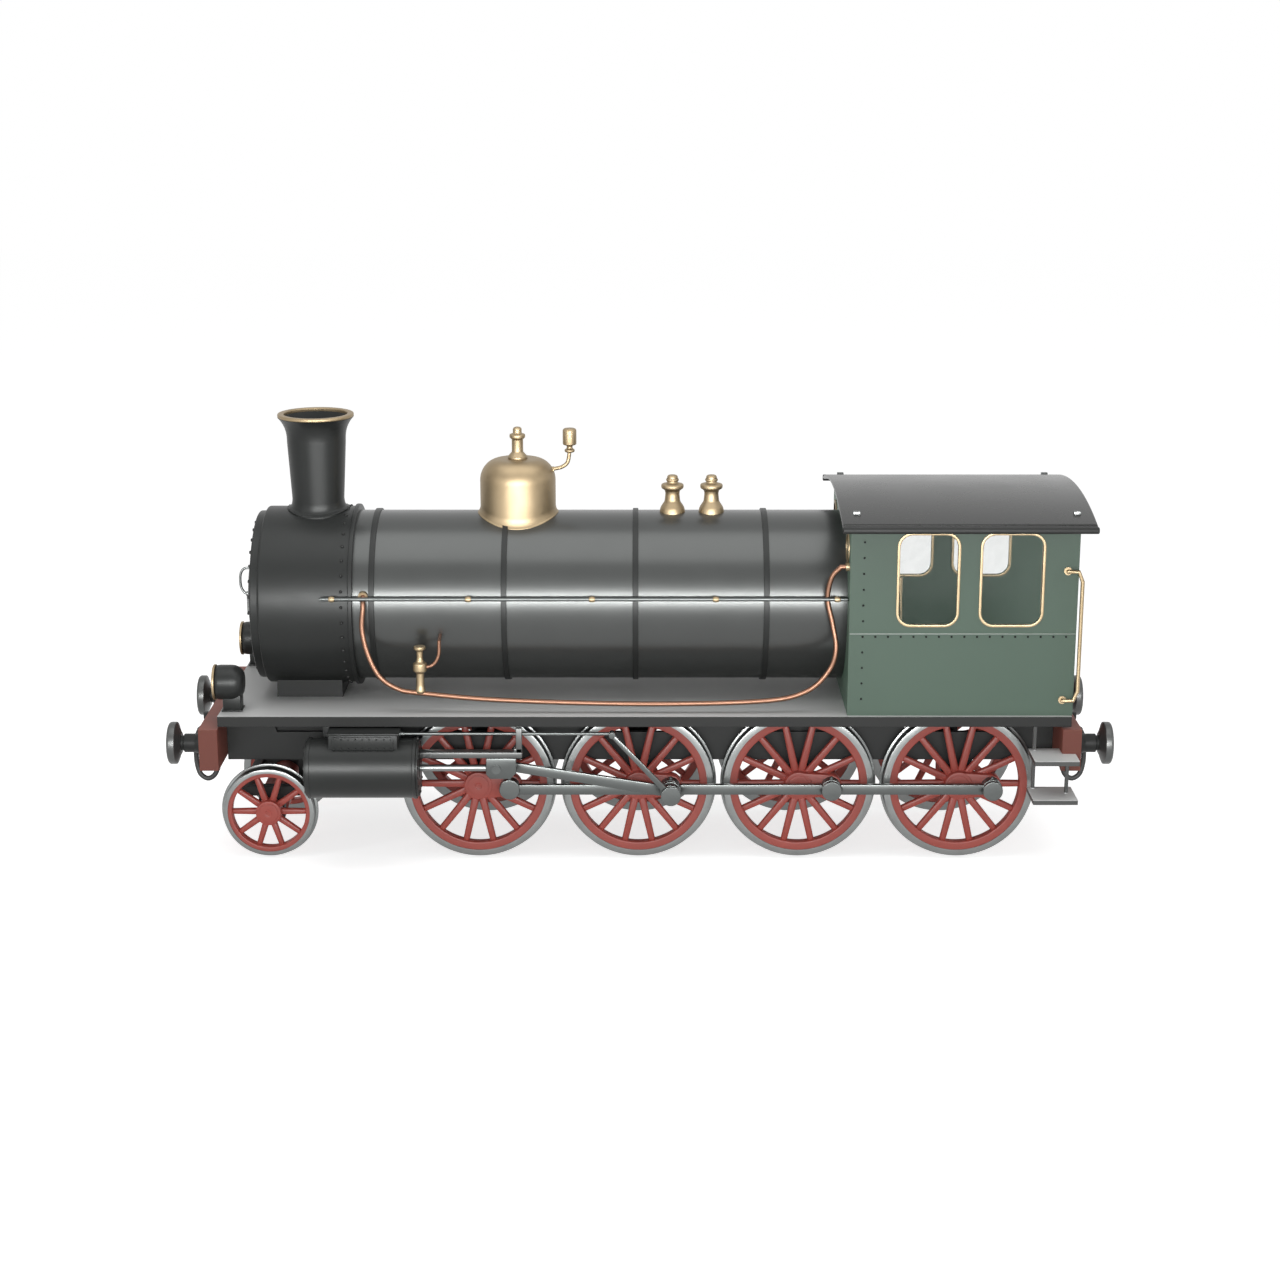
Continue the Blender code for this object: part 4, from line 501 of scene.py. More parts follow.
def smooth_route(points: Sequence[Point], steps: int = 8) -> list[Vector]:
    """Points along a smooth curve that passes through a route's points.

    Args:
        points: The route.
        steps: Steps between two of its points.

    Returns:
        The curve's points, with both ends.
    """
    route = [Vector(point) for point in points]
    padded = [route[0] * 2 - route[1], *route, route[-1] * 2 - route[-2]]
    curve = []
    for before, start, end, after in zip(padded, padded[1:], padded[2:], padded[3:]):
        lead, tail = start + (end - before) / 6, end - (after - start) / 6
        for step in range(steps):
            t = step / steps
            first, second, third = start.lerp(lead, t), lead.lerp(tail, t), tail.lerp(end, t)
            curve.append(first.lerp(second, t).lerp(second.lerp(third, t), t))
    return [*curve, route[-1]]


def seated(shell: float, low: float, high: float) -> Callable[[bmesh.types.BMesh], None]:
    """Change that drops a fitting's foot onto a round shell.

    Args:
        shell: Radius of the shell.
        low: Height up to which the foot follows the shell wholly.
        high: Height from which it doesn't.

    Returns:
        The change.
    """
    def drop(bm: bmesh.types.BMesh) -> None:
        """Lower each point by what the shell falls away beside it."""
        for vert in bm.verts:
            share = min(1.0, max(0.0, (high - vert.co.z) / (high - low)))
            vert.co.z -= share * (shell - math.sqrt(shell ** 2 - vert.co.y ** 2))
    return drop


class Form:
    """A mesh being made from closed shapes, dressed as one piece."""

    def __init__(self) -> None:
        """Start with no shapes."""
        self.bm = bmesh.new()

    def take(self, shape: bmesh.types.BMesh) -> "Form":
        """Close a shape, turn its faces outwards and add it to the piece.

        Args:
            shape: The shape, which is used up.

        Returns:
            This form.
        """
        bmesh.ops.remove_doubles(shape, verts=shape.verts[:], dist=MERGE)
        bmesh.ops.recalc_face_normals(shape, faces=shape.faces[:])
        mesh = bpy.data.meshes.new("shape")
        shape.to_mesh(mesh)
        shape.free()
        self.bm.from_mesh(mesh)
        bpy.data.meshes.remove(mesh)
        return self

    def turn(self, profile: Outline, axis: str, centre: Point, sides: int = SMALL, ring: bool = False,
             shape_with: Callable[[bmesh.types.BMesh], None] | None = None) -> "Form":
        """Spin a profile of (radius, along) points.

        Args:
            profile: Points from one end to the other, or round a loop.
            axis: Letter of the axis.
            centre: Point on the axis that along starts from.
            sides: Number of steps.
            ring: Whether the profile is a closed loop.
            shape_with: Change to the shape once it stands in place.

        Returns:
            This form.
        """
        bm = bmesh.new()
        points = [bm.verts.new((radius, 0.0, along)) for radius, along in profile]
        edges = [bm.edges.new(pair) for pair in zip(points, points[1:])]
        if ring:
            edges.append(bm.edges.new((points[-1], points[0])))
        bmesh.ops.spin(bm, geom=points + edges, cent=(0, 0, 0), axis=(0, 0, 1), dvec=(0, 0, 0),
                       angle=math.tau, steps=sides, use_merge=True, use_duplicate=False)
        turns = {"X": Matrix.Rotation(QUARTER, 4, "Y"), "Y": Matrix.Rotation(-QUARTER, 4, "X"),
                 "Z": Matrix.Identity(4)}
        bm.transform(Matrix.Translation(Vector(centre)) @ turns[axis])
        if shape_with:
            shape_with(bm)
        return self.take(bm)

    def bar(self, axis: str, centre: Point, radius: float, span: Pair, bevel: float = 0.0,
            sides: int = SMALL) -> "Form":
        """Round bar.

        Args:
            axis: Letter of its axis.
            centre: Point on the axis that the span is measured from.
            radius: Its radius.
            span: Where it starts and ends.
            bevel: Size of the curve at its ends' edges.
            sides: Number of its sides.

        Returns:
            This form.
        """
        return self.turn(rounded(solid((radius, span[0]), (radius, span[1])), bevel), axis, centre, sides)

    def hoop(self, axis: str, centre: Point, radii: Pair, span: Pair, bevel: float = 0.0,
             sides: int = ROUND) -> "Form":
        """Ring with a plain bore.

        Args:
            axis: Letter of its axis.
            centre: Point on the axis that the span is measured from.
            radii: Radius of its bore and of its outside.
            span: Where it starts and ends.
            bevel: Size of the curve at its outer edges.
            sides: Number of its sides.

        Returns:
            This form.
        """
        (bore, outer), (low, high) = radii, span
        loop = rounded([(bore, low), (outer, low), (outer, high), (bore, high)], bevel)
        return self.turn(loop, axis, centre, sides, ring=True)

    def bolt(self, axis: str, centre: Point, radius: float, height: float) -> None:
        """Six-sided head standing out from a face.

        Args:
            axis: Letter of its axis.
            centre: Its foot's middle.
            radius: Its size.
            height: How far it stands out, against the axis if negative.
        """
        self.turn(solid((radius, 0), (radius, height * 0.75), (radius * 0.82, height)), axis, centre, 6)

    def bolt_circle(self, axis: str, centre: Point, count: int, reach: float, head: Pair,
                    start: float = 0.0) -> None:
        """Ring of bolts round an axis.

        Args:
            axis: Letter of the axis.
            centre: Middle of the ring, on the face.
            count: Number of bolts.
            reach: Radius of the ring.
            head: Radius and height of a head, the height with its direction's sign.
            start: Angle of the first one.
        """
        for across, up in circle(count, reach, start):
            offset = {"X": (0, across, up), "Y": (across, 0, up), "Z": (across, up, 0)}[axis]
            self.bolt(axis, tuple(Vector(centre) + Vector(offset)), *head)

    def slab(self, outline: Outline, axis: str, span: Pair, bevel: float = 0.0,
             matrix: Matrix | None = None, segments: int = 2) -> "Form":
        """Extrude an outline; its points are (x, z) for Y, (y, z) for X and (x, y) for Z.

        Args:
            outline: Corners in order.
            axis: Letter of the axis along which it is extruded.
            span: Where it starts and ends.
            bevel: Width of the bevel on all its sharp edges.
            matrix: Placement after the extrusion.
            segments: Steps of the bevel.

        Returns:
            This form.
        """
        place = "XYZ".index(axis)
        corners = [(*point[:place], span[0], *point[place:]) for point in outline]
        bm = bmesh.new()
        face = bm.faces.new([bm.verts.new(corner) for corner in corners])
        self.thicken(bm, [face], place, span[1] - span[0], bevel, segments)
        if matrix:
            bm.transform(matrix)
        return self.take(bm)

    @staticmethod
    def thicken(bm: bmesh.types.BMesh, faces: list, place: int, depth: float, bevel: float,
                segments: int = 2) -> None:
        """Extrude faces and bevel the sharp edges of what they become.

        Args:
            bm: The shape.
            faces: Its flat faces.
            place: Number of the axis, from 0.
            depth: How far they move along it.
            bevel: Width of the bevel.
            segments: Steps of the bevel.
        """
        shift = [depth if index == place else 0.0 for index in range(3)]
        grown = bmesh.ops.extrude_face_region(bm, geom=faces)
        moved = [part for part in grown["geom"] if isinstance(part, bmesh.types.BMVert)]
        bmesh.ops.translate(bm, verts=moved, vec=shift)
        if not bevel:
            return
        bmesh.ops.recalc_face_normals(bm, faces=bm.faces[:])
        sharp = [edge for edge in bm.edges if edge.calc_face_angle(0.0) > SHARP]
        bmesh.ops.bevel(bm, geom=sharp, offset=bevel, affect="EDGES", segments=segments, profile=0.5,
                        material=-1, clamp_overlap=True)

    def frame(self, inner: Outline, outer: Outline, ys: Pair, bevel: float) -> "Form":
        """Flat frame between two outlines with the same number of points.

        Args:
            inner: Outline of the opening, as (x, z).
            outer: Outline round it.
            ys: Its low and high Y.
            bevel: Width of its bevels.

        Returns:
            This form.
        """
        bm = bmesh.new()
        loops = []
        for outline in (inner, outer):
            points = [bm.verts.new((x, ys[0], z)) for x, z in outline]
            loops += [bm.edges.new(pair) for pair in zip(points, points[1:] + points[:1])]
        self.thicken(bm, bmesh.ops.bridge_loops(bm, edges=loops)["faces"], 1, ys[1] - ys[0], bevel)
        return self.take(bm)

    def block(self, x: Pair, y: Pair, z: Pair, bevel: float = 0.0) -> "Form":
        """Block between two corners, given as a pair on each axis."""
        return self.slab([(x[0], z[0]), (x[1], z[0]), (x[1], z[1]), (x[0], z[1])], "Y", sorted(y), bevel)

    def tube(self, points: Sequence[Vector], radius: float, resolution: int = 4) -> "Form":
        """Round tube along points, with closed ends.

        Args:
            points: The route.
            radius: Radius of the tube.
            resolution: Steps in a quarter of its section.

        Returns:
            This form.
        """
        curve = bpy.data.curves.new("route", "CURVE")
        curve.dimensions = "3D"
        curve.bevel_depth = radius
        curve.bevel_resolution = resolution
        curve.use_fill_caps = True
        spline = curve.splines.new("POLY")
        spline.points.add(len(points) - 1)
        for slot, point in zip(spline.points, points):
            slot.co = (*point, 1)
        guide = bpy.data.objects.new("route", curve)
        bpy.context.scene.collection.objects.link(guide)
        shaped = guide.evaluated_get(bpy.context.evaluated_depsgraph_get())
        mesh = bpy.data.meshes.new_from_object(shaped)
        bm = bmesh.new()
        bm.from_mesh(mesh)
        bpy.data.objects.remove(guide, do_unlink=True)
        bpy.data.meshes.remove(mesh)
        return self.take(bm)

    def dome(self, centre: Point, radius: float) -> "Form":
        """Small ball, such as a rivet's head."""
        bm = bmesh.new()
        bmesh.ops.create_uvsphere(bm, u_segments=RIVET_SIDES, v_segments=6, radius=radius)
        bmesh.ops.translate(bm, verts=bm.verts[:], vec=centre)
        return self.take(bm)

    def mirror_for(self, side: Side) -> "Form":
        """Turn a left piece into its image if it stands on the right."""
        if side is Side.RIGHT:
            self.bm.transform(Matrix.Scale(-1, 4, (0, 1, 0)))
            bmesh.ops.reverse_faces(self.bm, faces=self.bm.faces[:])
        return self

    def finish(self, name: str, finish: Surface, body: str = ROOT,
               replaces: Iterable[str] = ()) -> bpy.types.Object:
        """Make the piece and hang it on its body.

        Args:
            name: Name of the piece.
            finish: What it is made of.
            body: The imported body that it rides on.
            replaces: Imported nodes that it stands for.

        Returns:
            The piece's object.
        """
        mesh = bpy.data.meshes.new(name)
        self.bm.to_mesh(mesh)
        self.bm.free()
        mesh.shade_smooth()
        mesh.set_sharp_from_angle(angle=SHARP)
        mesh.materials.append(finish.material())
        item = bpy.data.objects.new(name, mesh)
        bpy.context.scene.collection.objects.link(item)
        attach(item, body)
        if replaces:
            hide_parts(*replaces)
        isinstance(finish, Finish)
        LOG.info("%s: %d faces on %s", name, len(mesh.polygons), body)
        return item


def carry_over(names: Iterable[str], finish: Finish, bevel: float = 0.004) -> None:
    """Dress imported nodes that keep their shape, with their edges softened.

    Args:
        names: The nodes.
        finish: Their finish.
        bevel: Width of the bevel on their edges.
    """
    for name in names:
        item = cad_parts[name]
        item.data.materials.clear()
        item.data.materials.append(finish.material())
        item.modifiers.new("Weld", "WELD").merge_threshold = 0.0001
        edge = item.modifiers.new("Bevel", "BEVEL")
        edge.width = bevel
        edge.segments = 2
        edge.limit_method = "ANGLE"
        edge.angle_limit = SHARP
        LOG.info("%s: packed node, %s", name, finish.name)


@dataclass
class Boiler:
    """Clad barrel with its bands, and the fittings on the backhead in the cab."""

    front_x: float = -2.870
    rear_x: float = 2.350
    rear_round: float = 0.060
    band_x: tuple[float, ...] = (-2.680, -1.360, -0.045, 1.265)
    band_half: float = 0.028
    band_rise: float = 0.018
    clamp_ys: Pair = (0.012, 0.030)
    clamp_drop: float = 0.040
    clamp_bolt_drop: float = 0.024
    firehole_r: float = 0.190
    firehole_z: float = 2.180
    gauge_r: float = 0.085
    gauge_y: float = 0.220
    gauge_z: float = 3.080
    regulator_z: float = 2.830
    regulator: Outline = ((0.045, -EMBED), (0.036, 0.060), (0.022, 0.110))
    handle: tuple[Point, Point] = ((0.100, 0.0, 0.0), (0.105, -0.300, 0.090))
    handle_r: float = 0.014

    def build(self) -> None:
        """Make the barrel with its rounded rear edge, its bands and the backhead's fittings."""
        corner = [(BARREL_R, self.front_x), (BARREL_R, self.rear_x), (0, self.rear_x)]
        profile = [(0, self.front_x), *rounded(corner, self.rear_round)]
        barrel = Form().turn(profile, "X", BOILER_AXIS, FULL)
        barrel.finish("boiler_barrel", BOILER_BLACK, replaces=["boiler"])
        self.bands()
        self.backhead()

    def bands(self) -> None:
        """Cladding bands, each with its clamp under the barrel."""
        form, low = Form(), BOILER_Z - BARREL_R
        for x in self.band_x:
            span = (x - self.band_half, x + self.band_half)
            form.hoop("X", BOILER_AXIS, (BARREL_R - EMBED, BARREL_R + self.band_rise), span, 0.004, FULL)
            for side in Side:
                form.block(span, side.span(self.clamp_ys), (low - self.clamp_drop, low + EMBED), 0.003)
            form.bar("Y", (x, 0, low - self.clamp_bolt_drop), 0.010, (-0.045, 0.045), sides=FINE)
        form.finish("boiler_bands", SMOKEBOX_BLACK)

    def backhead(self) -> None:
        """Firehole door, gauges and regulator handle."""
        iron, brass, rear = Form(), Form(), self.rear_x
        firehole = [(0, -EMBED), (self.firehole_r, -EMBED), (self.firehole_r, 0.030), (0, 0.042)]
        iron.turn(rounded(firehole, 0.012), "X", (rear, 0, self.firehole_z), ROUND)
        iron.bolt_circle("X", (rear, 0, self.firehole_z), 12, self.firehole_r + 0.040, (0.013, 0.016))
        iron.bolt_circle("X", (rear, 0, BOILER_Z), 36, BARREL_R - 0.090, (0.012, 0.012))
        iron.finish("backhead_door", SMOKEBOX_BLACK)
        inner = self.gauge_r - 0.014
        rim = solid((self.gauge_r, -EMBED), (self.gauge_r, 0.050), (inner, 0.050), (inner, 0.042))
        for y in (-self.gauge_y, self.gauge_y):
            brass.turn(rounded(rim, 0.006), "X", (rear, y, self.gauge_z))
        brass.turn(solid(*self.regulator), "X", (rear, 0, self.regulator_z))
        start, end = (Vector((rear, 0, self.regulator_z)) + Vector(offset) for offset in self.handle)
        brass.tube([start, end], self.handle_r).dome(tuple(end), self.handle_r * 2)
        brass.finish("backhead_brass", BRASS)


@dataclass
class Smokebox:
    """Riveted drum with the front ring, its studs and the door's hinge lugs."""

    front_x: float = -3.810
    rear_x: float = -2.870
    wall: float = 0.038
    flange_r: float = 0.930
    flange_x: float = -2.912
    ring_r: float = 0.860
    ring_x: float = -3.900
    ring_thick: float = 0.070
    doorway_r: float = 0.550
    tubeplate: float = 0.060
    rivets: int = 36
    rivet_x: float = -2.978
    rivet_r: float = 0.017
    studs: int = 32
    stud_reach: float = 0.800
    pin_r: float = 0.018
    pin_end: float = 0.012
    lug_gap: float = 0.036
    lug_height: float = 0.040

    def build(self) -> None:
        """Make the drum and its fastenings."""
        self.drum()
        self.fastenings()

    def drum(self) -> None:
        """Hollow drum with its front ring, lugs and hinge pin."""
        radius, inner, plate = SMOKEBOX_R, SMOKEBOX_R - self.wall, self.ring_x + self.ring_thick
        outside = rounded([(0, self.rear_x), (self.flange_r, self.rear_x), (self.flange_r, self.flange_x),
                           (radius, self.flange_x)], 0.008)
        front = rounded([(radius, self.flange_x), (radius, self.front_x), (self.ring_r, self.front_x),
                         (self.ring_r, self.ring_x), (self.doorway_r, self.ring_x),
                         (self.doorway_r, plate)], 0.016)
        inside = [(self.ring_r - self.wall, plate), (inner, self.front_x + self.wall),
                  (inner, self.rear_x - self.tubeplate), (0, self.rear_x - self.tubeplate)]
        form = Form().turn([*outside, *front[1:], *inside], "X", BOILER_AXIS, FULL)
        reach = STRAP_Z + self.lug_gap
        high = reach + self.lug_height
        form.bar("Z", (*HINGE, BOILER_Z), self.pin_r, (-high - self.pin_end, high + self.pin_end))
        lug = link_outline(HINGE, HINGE_EYE, (self.ring_x, HINGE[1]), HINGE_EYE)
        for low in (BOILER_Z + reach, BOILER_Z - high):
            form.slab(lug, "Z", (low, low + self.lug_height), 0.004)
        form.finish("smokebox_drum", SMOKEBOX_BLACK, replaces=["smokebox"])

    def fastenings(self) -> None:
        """Row of rivets round the drum and studs on the front ring."""
        form = Form()
        for across, up in circle(self.rivets, SMOKEBOX_R, math.pi / self.rivets):
            form.dome((self.rivet_x, across, BOILER_Z + up), self.rivet_r)
        foot = (self.ring_x + 0.001, 0, BOILER_Z)
        form.bolt_circle("X", foot, self.studs, self.stud_reach, (0.018, -0.022))
        form.finish("smokebox_rivets", RIVET_BLACK)


@dataclass
class SmokeboxDoor:
    """Dished door with its straps, the dart's handle and the pull above it."""

    radius: float = 0.600
    dish_share: float = 0.955
    back_x: float = -3.9055
    rim_x: float = -3.925
    front_x: float = -4.005
    dart: Outline = ((0.045, 0.010), (0.045, -0.018), (0.026, -0.022), (0.026, -0.060))
    handle_x: float = -0.046
    handle_r: float = 0.012
    handle_length: float = 0.210
    strap_half: float = 0.030
    strap_thick: float = 0.022
    strap_reach: float = 0.350
    strap_bolts: tuple[float, ...] = (0.28, 0.50, 0.78)
    pin_r: float = 0.019
    pull: Outline = ((0.020, 0.270), (-0.070, 0.266), (-0.112, 0.200), (-0.112, 0.080), (-0.080, 0.016),
                     (-0.052, 0.000))
    pull_boss: Outline = ((0.034, 0.050), (0.030, -0.012))
    body: str = "smokebox_door"

    def build(self) -> None:
        """Make the dish, the straps and the handles."""
        edge = self.radius * self.dish_share
        rim = rounded([(0, self.back_x), (self.radius, self.back_x), (self.radius, self.rim_x),
                       (edge, self.rim_x)], 0.009)
        bowl = ellipse((0, self.rim_x), edge, self.front_x - self.rim_x, 12)
        Form().turn([*rim, *bowl[1:]], "X", BOILER_AXIS, FULL).finish(
            "smokebox_door_dish", SMOKEBOX_BLACK, self.body, ["smokebox_door"])
        self.straps()
        self.handles()

    def straps(self) -> None:
        """Two strap hinges, bolted through."""
        form = Form()
        x, y = HINGE
        root, end = y - HINGE_EYE * 0.9, y - self.strap_reach
        for centre in (BOILER_Z - STRAP_Z, BOILER_Z + STRAP_Z):
            low, high = centre - self.strap_half, centre + self.strap_half
            outline = [(root, low), (root, high), (end + self.strap_half, high - 0.006),
                       (end, centre + 0.008), (end, centre - 0.008), (end + self.strap_half, low + 0.006)]
            form.slab(outline, "X", (x - self.strap_thick, x + self.strap_thick), 0.005)
            form.hoop("Z", (x, y, 0), (self.pin_r, HINGE_EYE), (low, high), sides=SMALL)
            for share in self.strap_bolts:
                form.bolt("X", (x - self.strap_thick, y - share * self.strap_reach, centre), 0.013, -0.010)
        form.finish("smokebox_door_straps", SMOKEBOX_BLACK, self.body)

    def handles(self) -> None:
        """Steel dart with its handle, and the looped pull."""
        form, front = Form(), (self.front_x, 0, BOILER_Z)
        dart = solid(*self.dart)
        form.turn([dart[0], *rounded(dart[1:], 0.006)], "X", front)
        hub = Vector(front) + Vector((self.handle_x, 0, 0))
        tip = hub - Vector((0, 0, self.handle_length))
        form.tube([hub, tip], self.handle_r).dome(tuple(tip), self.handle_r * 1.5)
        loop = [(self.front_x + reach, 0, BOILER_Z + rise) for reach, rise in self.pull]
        form.tube(smooth_route(loop, 6), self.handle_r * 1.15)
        form.turn(solid(*self.pull_boss), "X", (self.front_x, 0, BOILER_Z + self.pull[0][1]))
        form.finish("smokebox_door_dart", BRIGHT_STEEL, self.body)


@dataclass
class Chimney:
    """Tapered stack with a bell mouth and a brass lip, seated on the smokebox."""

    x: float = -3.285
    crown_z: float = 3.511
    skirt_r: float = 0.318
    foot_r: float = 0.264
    foot_rise: float = 0.110
    neck_r: float = 0.297
    neck_z: float = 4.200
    lip_r: float = 0.385
    lip_z: float = 4.452
    top_z: float = 4.486
    bore_r: float = 0.225
    mouth_r: float = 0.320
    bell_steps: int = 10
    bell_power: float = 2.6
    rivets: int = 20
    rivet_r: float = 0.007

    def build(self) -> None:
        """Make the stack with its flared foot and bell mouth, the brass bead and the foot's rivets."""
        crown, axis = self.crown_z, (self.x, 0, 0)
        skirt = [(self.skirt_r, crown - 0.020), (self.skirt_r, crown + 0.014),
                 (self.skirt_r - 0.012, crown + 0.020)]
        wide = self.skirt_r - 0.030
        flare = ellipse((wide, crown + self.foot_rise), self.foot_r - wide, 0.026 - self.foot_rise, 8)[::-1]
        shares = [step / self.bell_steps for step in range(self.bell_steps + 1)]
        bell = [(self.neck_r + (self.lip_r - self.neck_r) * share ** self.bell_power,
                 self.neck_z + (self.lip_z - self.neck_z) * share) for share in shares]
        inside = [(self.mouth_r, self.lip_z), (self.bore_r + 0.035, self.neck_z + 0.100),
                  (self.bore_r, self.neck_z - 0.050), (self.bore_r, crown - 0.020)]
        Form().turn([*skirt, *flare, *bell, *inside], "Z", axis, FULL, ring=True,
                    shape_with=seated(SMOKEBOX_R, crown + 0.030, crown + 0.260)
                    ).finish("chimney_stack", SMOKEBOX_BLACK, replaces=["chimney"])
        low = self.lip_z - 0.002
        bead = [(self.mouth_r, low), (self.lip_r, low), (self.lip_r, self.top_z), (self.mouth_r, self.top_z)]
        Form().turn(looped(bead, 0.014), "Z", axis, FULL, ring=True).finish("chimney_lip", BRASS)
        rivets = Form()
        for along, across in circle(self.rivets, self.skirt_r - 0.010, math.pi / self.rivets):
            height = crown - SMOKEBOX_R + math.sqrt(SMOKEBOX_R ** 2 - across ** 2) + 0.017
            rivets.dome((self.x + along, across, height), self.rivet_r)
        rivets.finish("chimney_rivets", SMOKEBOX_BLACK)


@dataclass
class SteamDome:
    """Brass dome with the valve on its top and the whistle beside it."""

    x: float = -1.245
    radius: float = 0.385
    base_r: float = 0.412
    flare_rise: float = 0.060
    flare_steps: int = 6
    shoulder_z: float = 3.800
    top_z: float = 4.020
    round_r: float = 0.200
    valve: Outline = ((0.100, 4.016), (0.100, 4.045), (0.058, 4.090), (0.058, 4.220), (0.080, 4.235),
                      (0.080, 4.270), (0.045, 4.280), (0.045, 4.330), (0.025, 4.345))
    whistle_x: float = -0.715
    whistle: Outline = ((0.030, 4.080), (0.052, 4.090), (0.052, 4.112), (0.030, 4.125), (0.030, 4.150),
                        (0.070, 4.165), (0.070, 4.315), (0.055, 4.330))
    pipe_r: float = 0.020
    pipe: Outline = ((-0.950, 3.900), (-0.860, 3.915), (-0.790, 3.935), (-0.735, 3.985), (-0.715, 4.100))

    def build(self) -> None:
        """Make the dome with its flared foot, its valve and the whistle."""
        crown, flat, base = BARREL_CROWN, self.radius - self.round_r, self.base_r
        foot = [(0, crown - 0.020), (base, crown - 0.020), (base, crown + 0.006),
                (base - 0.008, crown + 0.012)]
        shares = [step / self.flare_steps for step in range(self.flare_steps + 1)]
        foot += [(self.radius + (base - 0.010 - self.radius) * (1 - share) ** 2,
                  crown + 0.014 + self.flare_rise * share) for share in shares]
        crest = ellipse((flat, self.shoulder_z), self.round_r, self.top_z - self.shoulder_z, 12)[:-1]
        top = [(flat * 0.97, self.top_z - 0.001), (flat * 0.45, self.top_z + 0.002), (0, self.top_z + 0.003)]
        Form().turn([*foot, *crest, *top], "Z", (self.x, 0, 0), FULL,
                    shape_with=seated(BARREL_R, crown + 0.020, crown + 0.300)
                    ).finish("dome_shell", BRASS, replaces=["steam_dome"])
        self.fittings()

    def fittings(self) -> None:
        """Valve with its flange bolts, whistle with its bell and the pipe."""
        form = Form()
        for x, turned in ((self.x, self.valve), (self.whistle_x, self.whistle)):
            form.turn(rounded(solid(*turned), 0.010, 3), "Z", (x, 0, 0))
        form.tube(smooth_route([(x, 0, z) for x, z in self.pipe]), self.pipe_r)
        form.bar("X", (self.x + self.radius * 0.93, 0, self.pipe[0][1]), 0.036, (-0.012, 0.012))
        form.bolt_circle("Z", (self.x, 0, self.valve[1][1] - 0.002), 6, 0.082, (0.010, 0.012))
        form.finish("dome_fittings", BRASS)


@dataclass
class SafetyValves:
    """Two brass safety valves on the barrel."""

    xs: Pair = (0.331, 0.729)
    turned: Outline = ((0.130, -0.012), (0.130, 0.010), (0.120, 0.050), (0.080, 0.110), (0.072, 0.190),
                       (0.080, 0.225), (0.115, 0.245), (0.115, 0.285), (0.055, 0.300), (0.055, 0.365),
                       (0.040, 0.380))
    ring: Outline = ((0.060, 0.318), (0.066, 0.325), (0.066, 0.335), (0.060, 0.342))

    def build(self) -> None:
        """Make each valve with its cap, flange and ring."""
        for x, end in zip(self.xs, End):
            centre = (x, 0, BARREL_CROWN)
            form = Form().turn(rounded(solid(*self.turned), 0.014, 3), "Z", centre, ROUND,
                               shape_with=seated(BARREL_R, BARREL_CROWN, BARREL_CROWN + 0.060))
            form.turn(self.ring, "Z", centre, ring=True)
            form.finish(f"safety_valve_{end.label}_brass", BRASS, replaces=[f"safety_valve_{end.label}"])


@dataclass
class Handrails:
    """Long steel rails on stanchions with brass knobs."""

    y: float = 0.970
    z: float = 2.783
    radius: float = 0.020
    front_x: float = -3.180
    knob_x: tuple[float, ...] = (-3.060, -1.705, -0.476, 0.753, 1.960)
    knob_r: float = 0.032
    stanchion_r: float = 0.014

    def build(self) -> None:
        """Make the rail and the knobs of both sides."""
        ball = rounded(solid((self.knob_r * 0.75, -self.knob_r), (self.knob_r, 0),
                             (self.knob_r * 0.75, self.knob_r)), self.knob_r * 0.5)
        for side in Side:
            y, label = side.value * self.y, f"handrail_{side.label}"
            rail, knobs = Form(), Form()
            rail.bar("X", (0, y, self.z), self.radius, (self.front_x, CAB_FRONT), self.radius * 0.9)
            lean = Vector((0, y, self.z - BOILER_Z)).normalized()
            for x in self.knob_x:
                foot, knob = Vector((x, 0, BOILER_Z)) + lean * (BARREL_R - 0.006), Vector((x, y, self.z))
                knobs.tube([foot, knob], self.stanchion_r)
                knobs.tube([foot, foot + lean * 0.022], self.stanchion_r * 1.9)
                knobs.turn(ball, "X", tuple(knob))
            rail.finish(f"{label}_rail", STEEL, replaces=[label])
            knobs.finish(f"{label}_knobs", BRASS)


